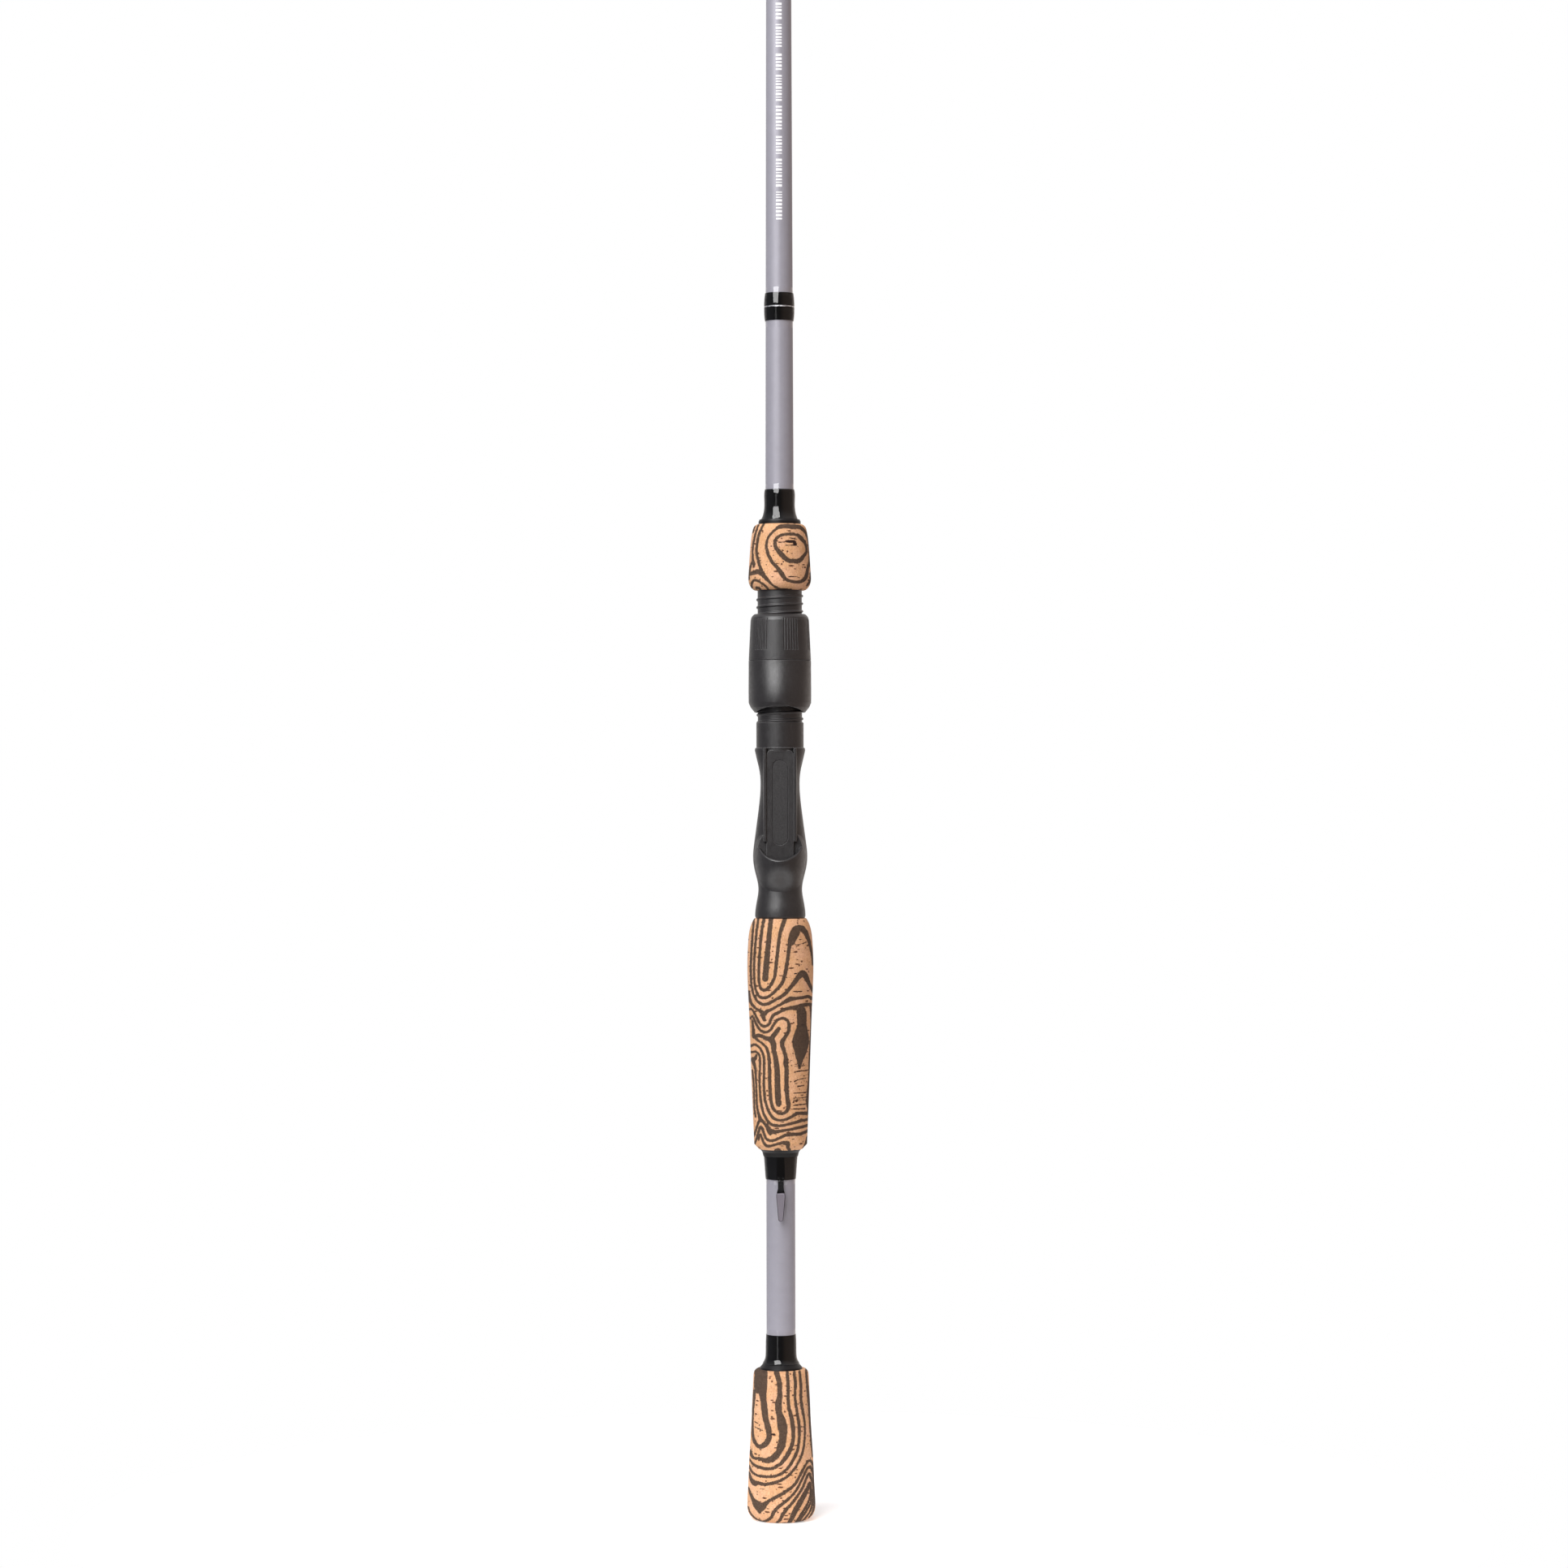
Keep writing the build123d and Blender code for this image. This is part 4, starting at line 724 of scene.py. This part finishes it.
def sleeve(name, surface, heights, material, inset=0.0, end=0.5):
    """A fine skin on part of a CAD surface, inset millimetres inside it, that rounds down to the
    blank over the last end millimetres at each end."""
    turns = np.linspace(-math.pi, math.pi, SLEEVE_SEGMENTS, endpoint=False)
    radii = np.empty((len(heights), len(turns)))
    for i, height in enumerate(heights):
        for j, turn in enumerate(turns):
            out = Vector((math.sin(turn), -math.cos(turn), 0))
            hit = surface.ray_cast(out * OUTSIDE + Vector((0, 0, height)), -out)[0]
            radii[i, j] = math.hypot(hit.x, hit.y)
    raw = radii
    for _ in range(SMOOTHINGS):
        radii = (np.roll(radii, 1, axis=1) + radii + np.roll(radii, -1, axis=1)) / 3
        padded = np.pad(radii, ((1, 1), (0, 0)), mode="edge")
        radii = (padded[:-2] + padded[1:-1] + padded[2:]) / 3
    if inset:
        radii = np.minimum(radii, raw)
    inner = np.array([blank_radius(height) for height in heights])[:, None] - UNDERLAP
    from_end = np.minimum(heights - heights[0], heights[-1] - heights)[:, None]
    shoulder = np.sqrt(np.clip(from_end / (end * MM), 0, 1))
    rounded = inner + (radii - inset * MM - inner) * shoulder
    skin = lathe(name, rounded, heights, SLEEVE_SEGMENTS, material)
    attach(skin, "root")
    return skin


def outer_skin(node):
    """A piece made of the faces of a CAD node that look away from the rod's axis."""
    made = add(f"{node}_skin", nodes[node].data.copy())
    work = bmesh.new()
    work.from_mesh(made.data)
    inward = []
    for face in work.faces:
        middle = face.calc_center_median()
        outward = Vector((middle.x, middle.y, 0)).normalized()
        if face.normal.dot(outward) < OUTWARD:
            inward.append(face)
    bmesh.ops.delete(work, geom=inward, context="FACES")
    work.to_mesh(made.data)
    work.free()
    made.data.materials.clear()
    made.data.materials.append(epoxy)
    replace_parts(made, node)
    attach(made, "root")


# The epoxy is a lens: thread under it looks as wide as the epoxy itself, so each winding is
# drawn just inside the skin.
WINDINGS = {
    "trim_wrap_finish": ("trim_wrap_lower", "trim_inlay", "trim_wrap_upper"),
    "fore_wrap_finish": ("fore_wrap",),
    "butt_wrap_finish": ("butt_wrap",),
    "keeper_wrap_finish": ("keeper_wrap",),
}
for finish, windings in WINDINGS.items():
    outer_skin(finish)
    surface = cad_surface(finish)
    for node in windings:
        low, high = heights_of(node)
        rings = max(3, int((high - low) / WINDING_STEP))
        inside = np.linspace(low + NEXT_EDGE, high - NEXT_EDGE, rings)
        heights = np.array([low + EDGE, *inside, high - EDGE])
        thread, slot = black_thread, "black_thread"
        if node == "trim_inlay":
            thread, slot = silver_thread, "metallic_thread"
        wound = sleeve(f"{node}_thread", surface, heights, thread, INSET, end=0.01)
        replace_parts(wound, node)

# A ray from behind the rod finds the heights that a guide's or the tip's wrap covers. A guide on
# two feet has a wrap over each, in one node, and each becomes a sleeve.
for node in nodes:
    if node.startswith(("guide", "tip")) and node.endswith("_wrap"):
        surface = cad_surface(node)
        low, high = heights_of(node)
        wound = []
        for height in np.arange(low + EDGE, high, GUIDE_WRAP_STEP):
            hit = surface.ray_cast(Vector((0, OUTSIDE, height)), Vector((0, -1, 0)))[0]
            if hit and hit.y > 0:
                wound.append(height)
        breaks = np.flatnonzero(np.diff(wound) > GAP) + 1
        for part, heights in enumerate(np.split(np.array(wound), breaks)):
            name = f"{node}_thread_{part + 1}"
            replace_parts(sleeve(name, surface, heights, varnished_thread), node)


# ---- white printed marks -----------------------------------------------------------------------
# Plain ticks in groups stand in for the printed line of text, which is left out.

PRINT_GAP = 0.0304  # above the trim wraps' epoxy
PRINT_LENGTH = 0.1734
PRINT_LIFT = 0.00003  # off the blank's surface
TICK_WIDTH = 2.8 * MM
TICK_STEPS = 8
TICK_SPACE = 0.65 * MM

marks = bmesh.new()
z = heights_of("trim_wrap_finish")[1] + PRINT_GAP
print_end = z + PRINT_LENGTH
while z < print_end:
    for tick in range(rng.integers(5, 10)):
        thick = rng.choice([0.5, 0.8, 1.1]) * MM
        last = None
        for step in range(TICK_STEPS + 1):
            a = (step / TICK_STEPS - 0.5) * TICK_WIDTH
            pair = []
            for level in (z, z + thick):
                r = blank_radius(level) + PRINT_LIFT
                pair.append(marks.verts.new((r * math.sin(a / r), -r * math.cos(a / r), level)))
            if last:
                marks.faces.new((last[0], pair[0], pair[1], last[1]))
            last = pair
        z += thick + TICK_SPACE
    z += rng.choice([1.6, 2.4]) * MM
print_mesh = bpy.data.meshes.new("printed_marks")
marks.to_mesh(print_mesh)
marks.free()
print_mesh.materials.append(print_paint())
printed = add("printed_marks", print_mesh)
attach(printed, "root")


# ---- floor, light and room ---------------------------------------------------------------------

LIT = Vector((0, 0, 0.4))  # the point that the lights face
FLOOR_RADIUS, FLOOR_SIDES = 0.32, 96


def soft_light(name, azimuth, elevation, distance, width, height, power):
    """A flat soft light. Azimuth 0 is the camera's side, and it is negative to its left."""
    lamp = bpy.data.lights.new(name, "AREA")
    lamp.shape = "RECTANGLE"
    lamp.size = width
    lamp.size_y = height
    lamp.energy = power
    made = add(name, lamp)
    a, e = math.radians(azimuth), math.radians(elevation)
    back = Vector((math.sin(a) * math.cos(e), -math.cos(a) * math.cos(e), math.sin(e)))
    made.location = LIT + back * distance
    made.rotation_euler = back.to_track_quat("Z", "Y").to_euler()


soft_light("key", azimuth=-28, elevation=36, distance=1.7, width=1.25, height=1.4, power=41)
soft_light("strip", azimuth=-26, elevation=0, distance=2.2, width=0.5, height=1.6, power=1.8)

floor_mesh = bpy.data.meshes.new("floor")
rim = []
for a in np.linspace(0, 2 * math.pi, FLOOR_SIDES, endpoint=False):
    rim.append((FLOOR_RADIUS * math.cos(a), FLOOR_RADIUS * math.sin(a), 0))
floor_mesh.from_pydata(rim, [], [list(range(FLOOR_SIDES))])
floor = add("floor", floor_mesh)
p = Paint("white_floor")
shade = p.mix(p.noise(0.02, 3), colour("#f6f6f6"), colour("#ffffff"))
floor_mesh.materials.append(
    p.surface(base_color=shade, roughness=0.9, emission_color=(1, 1, 1, 1), emission_strength=0.3)
)

# The camera sees plain white. The rod is lit by a room that is dark in front and at the left,
# warm at the right and bright behind and above.
world = bpy.data.worlds.new("studio")
bpy.context.scene.world = world
room = Tree(world)
direction = room.node("ShaderNodeTexCoord").outputs["Generated"]
axes = room.node("ShaderNodeSeparateXYZ", {0: direction})


def wall(axis, stops):
    """Colour of the room by one part of the direction, from stops of (place, colour)."""
    spread = room.node("ShaderNodeMapRange", {0: axes.outputs[axis], 1: -1})
    made = room.node("ShaderNodeValToRGB", {0: spread.outputs[0]})
    bands = made.color_ramp.elements
    while len(bands) < len(stops):
        bands.new(0.5)
    for band, (place, tint) in zip(bands, stops):
        band.position = (place + 1) / 2
        band.color = (*tint, 1)
    return made.outputs[0]


sides = wall(
    0,
    [
        (-1.0, (0.2, 0.2, 0.22)),
        (-0.6, (0.15, 0.15, 0.16)),
        (0.1, (0.11, 0.1, 0.1)),
        (0.6, (0.34, 0.26, 0.22)),
        (1.0, (0.38, 0.3, 0.26)),
    ],
)
behind = wall(1, [(-1.0, (0, 0, 0)), (0.25, (0, 0, 0)), (0.9, (0.6, 0.58, 0.56))])
above = wall(2, [(-1.0, (0, 0, 0)), (0.3, (0, 0, 0)), (1.0, (0.5, 0.5, 0.52))])
total = sides
for part in (behind, above):
    total = room.mix(1, total, part, blend_type="ADD")
ambient = room.node("ShaderNodeBackground", {0: total}).outputs[0]
white = room.node("ShaderNodeBackground", {0: (1, 1, 1, 1)}).outputs[0]
seen = room.node("ShaderNodeLightPath").outputs["Is Camera Ray"]
choice = room.node("ShaderNodeMixShader", {0: seen, 1: ambient, 2: white})
room.node("ShaderNodeOutputWorld", {0: choice.outputs[0]})
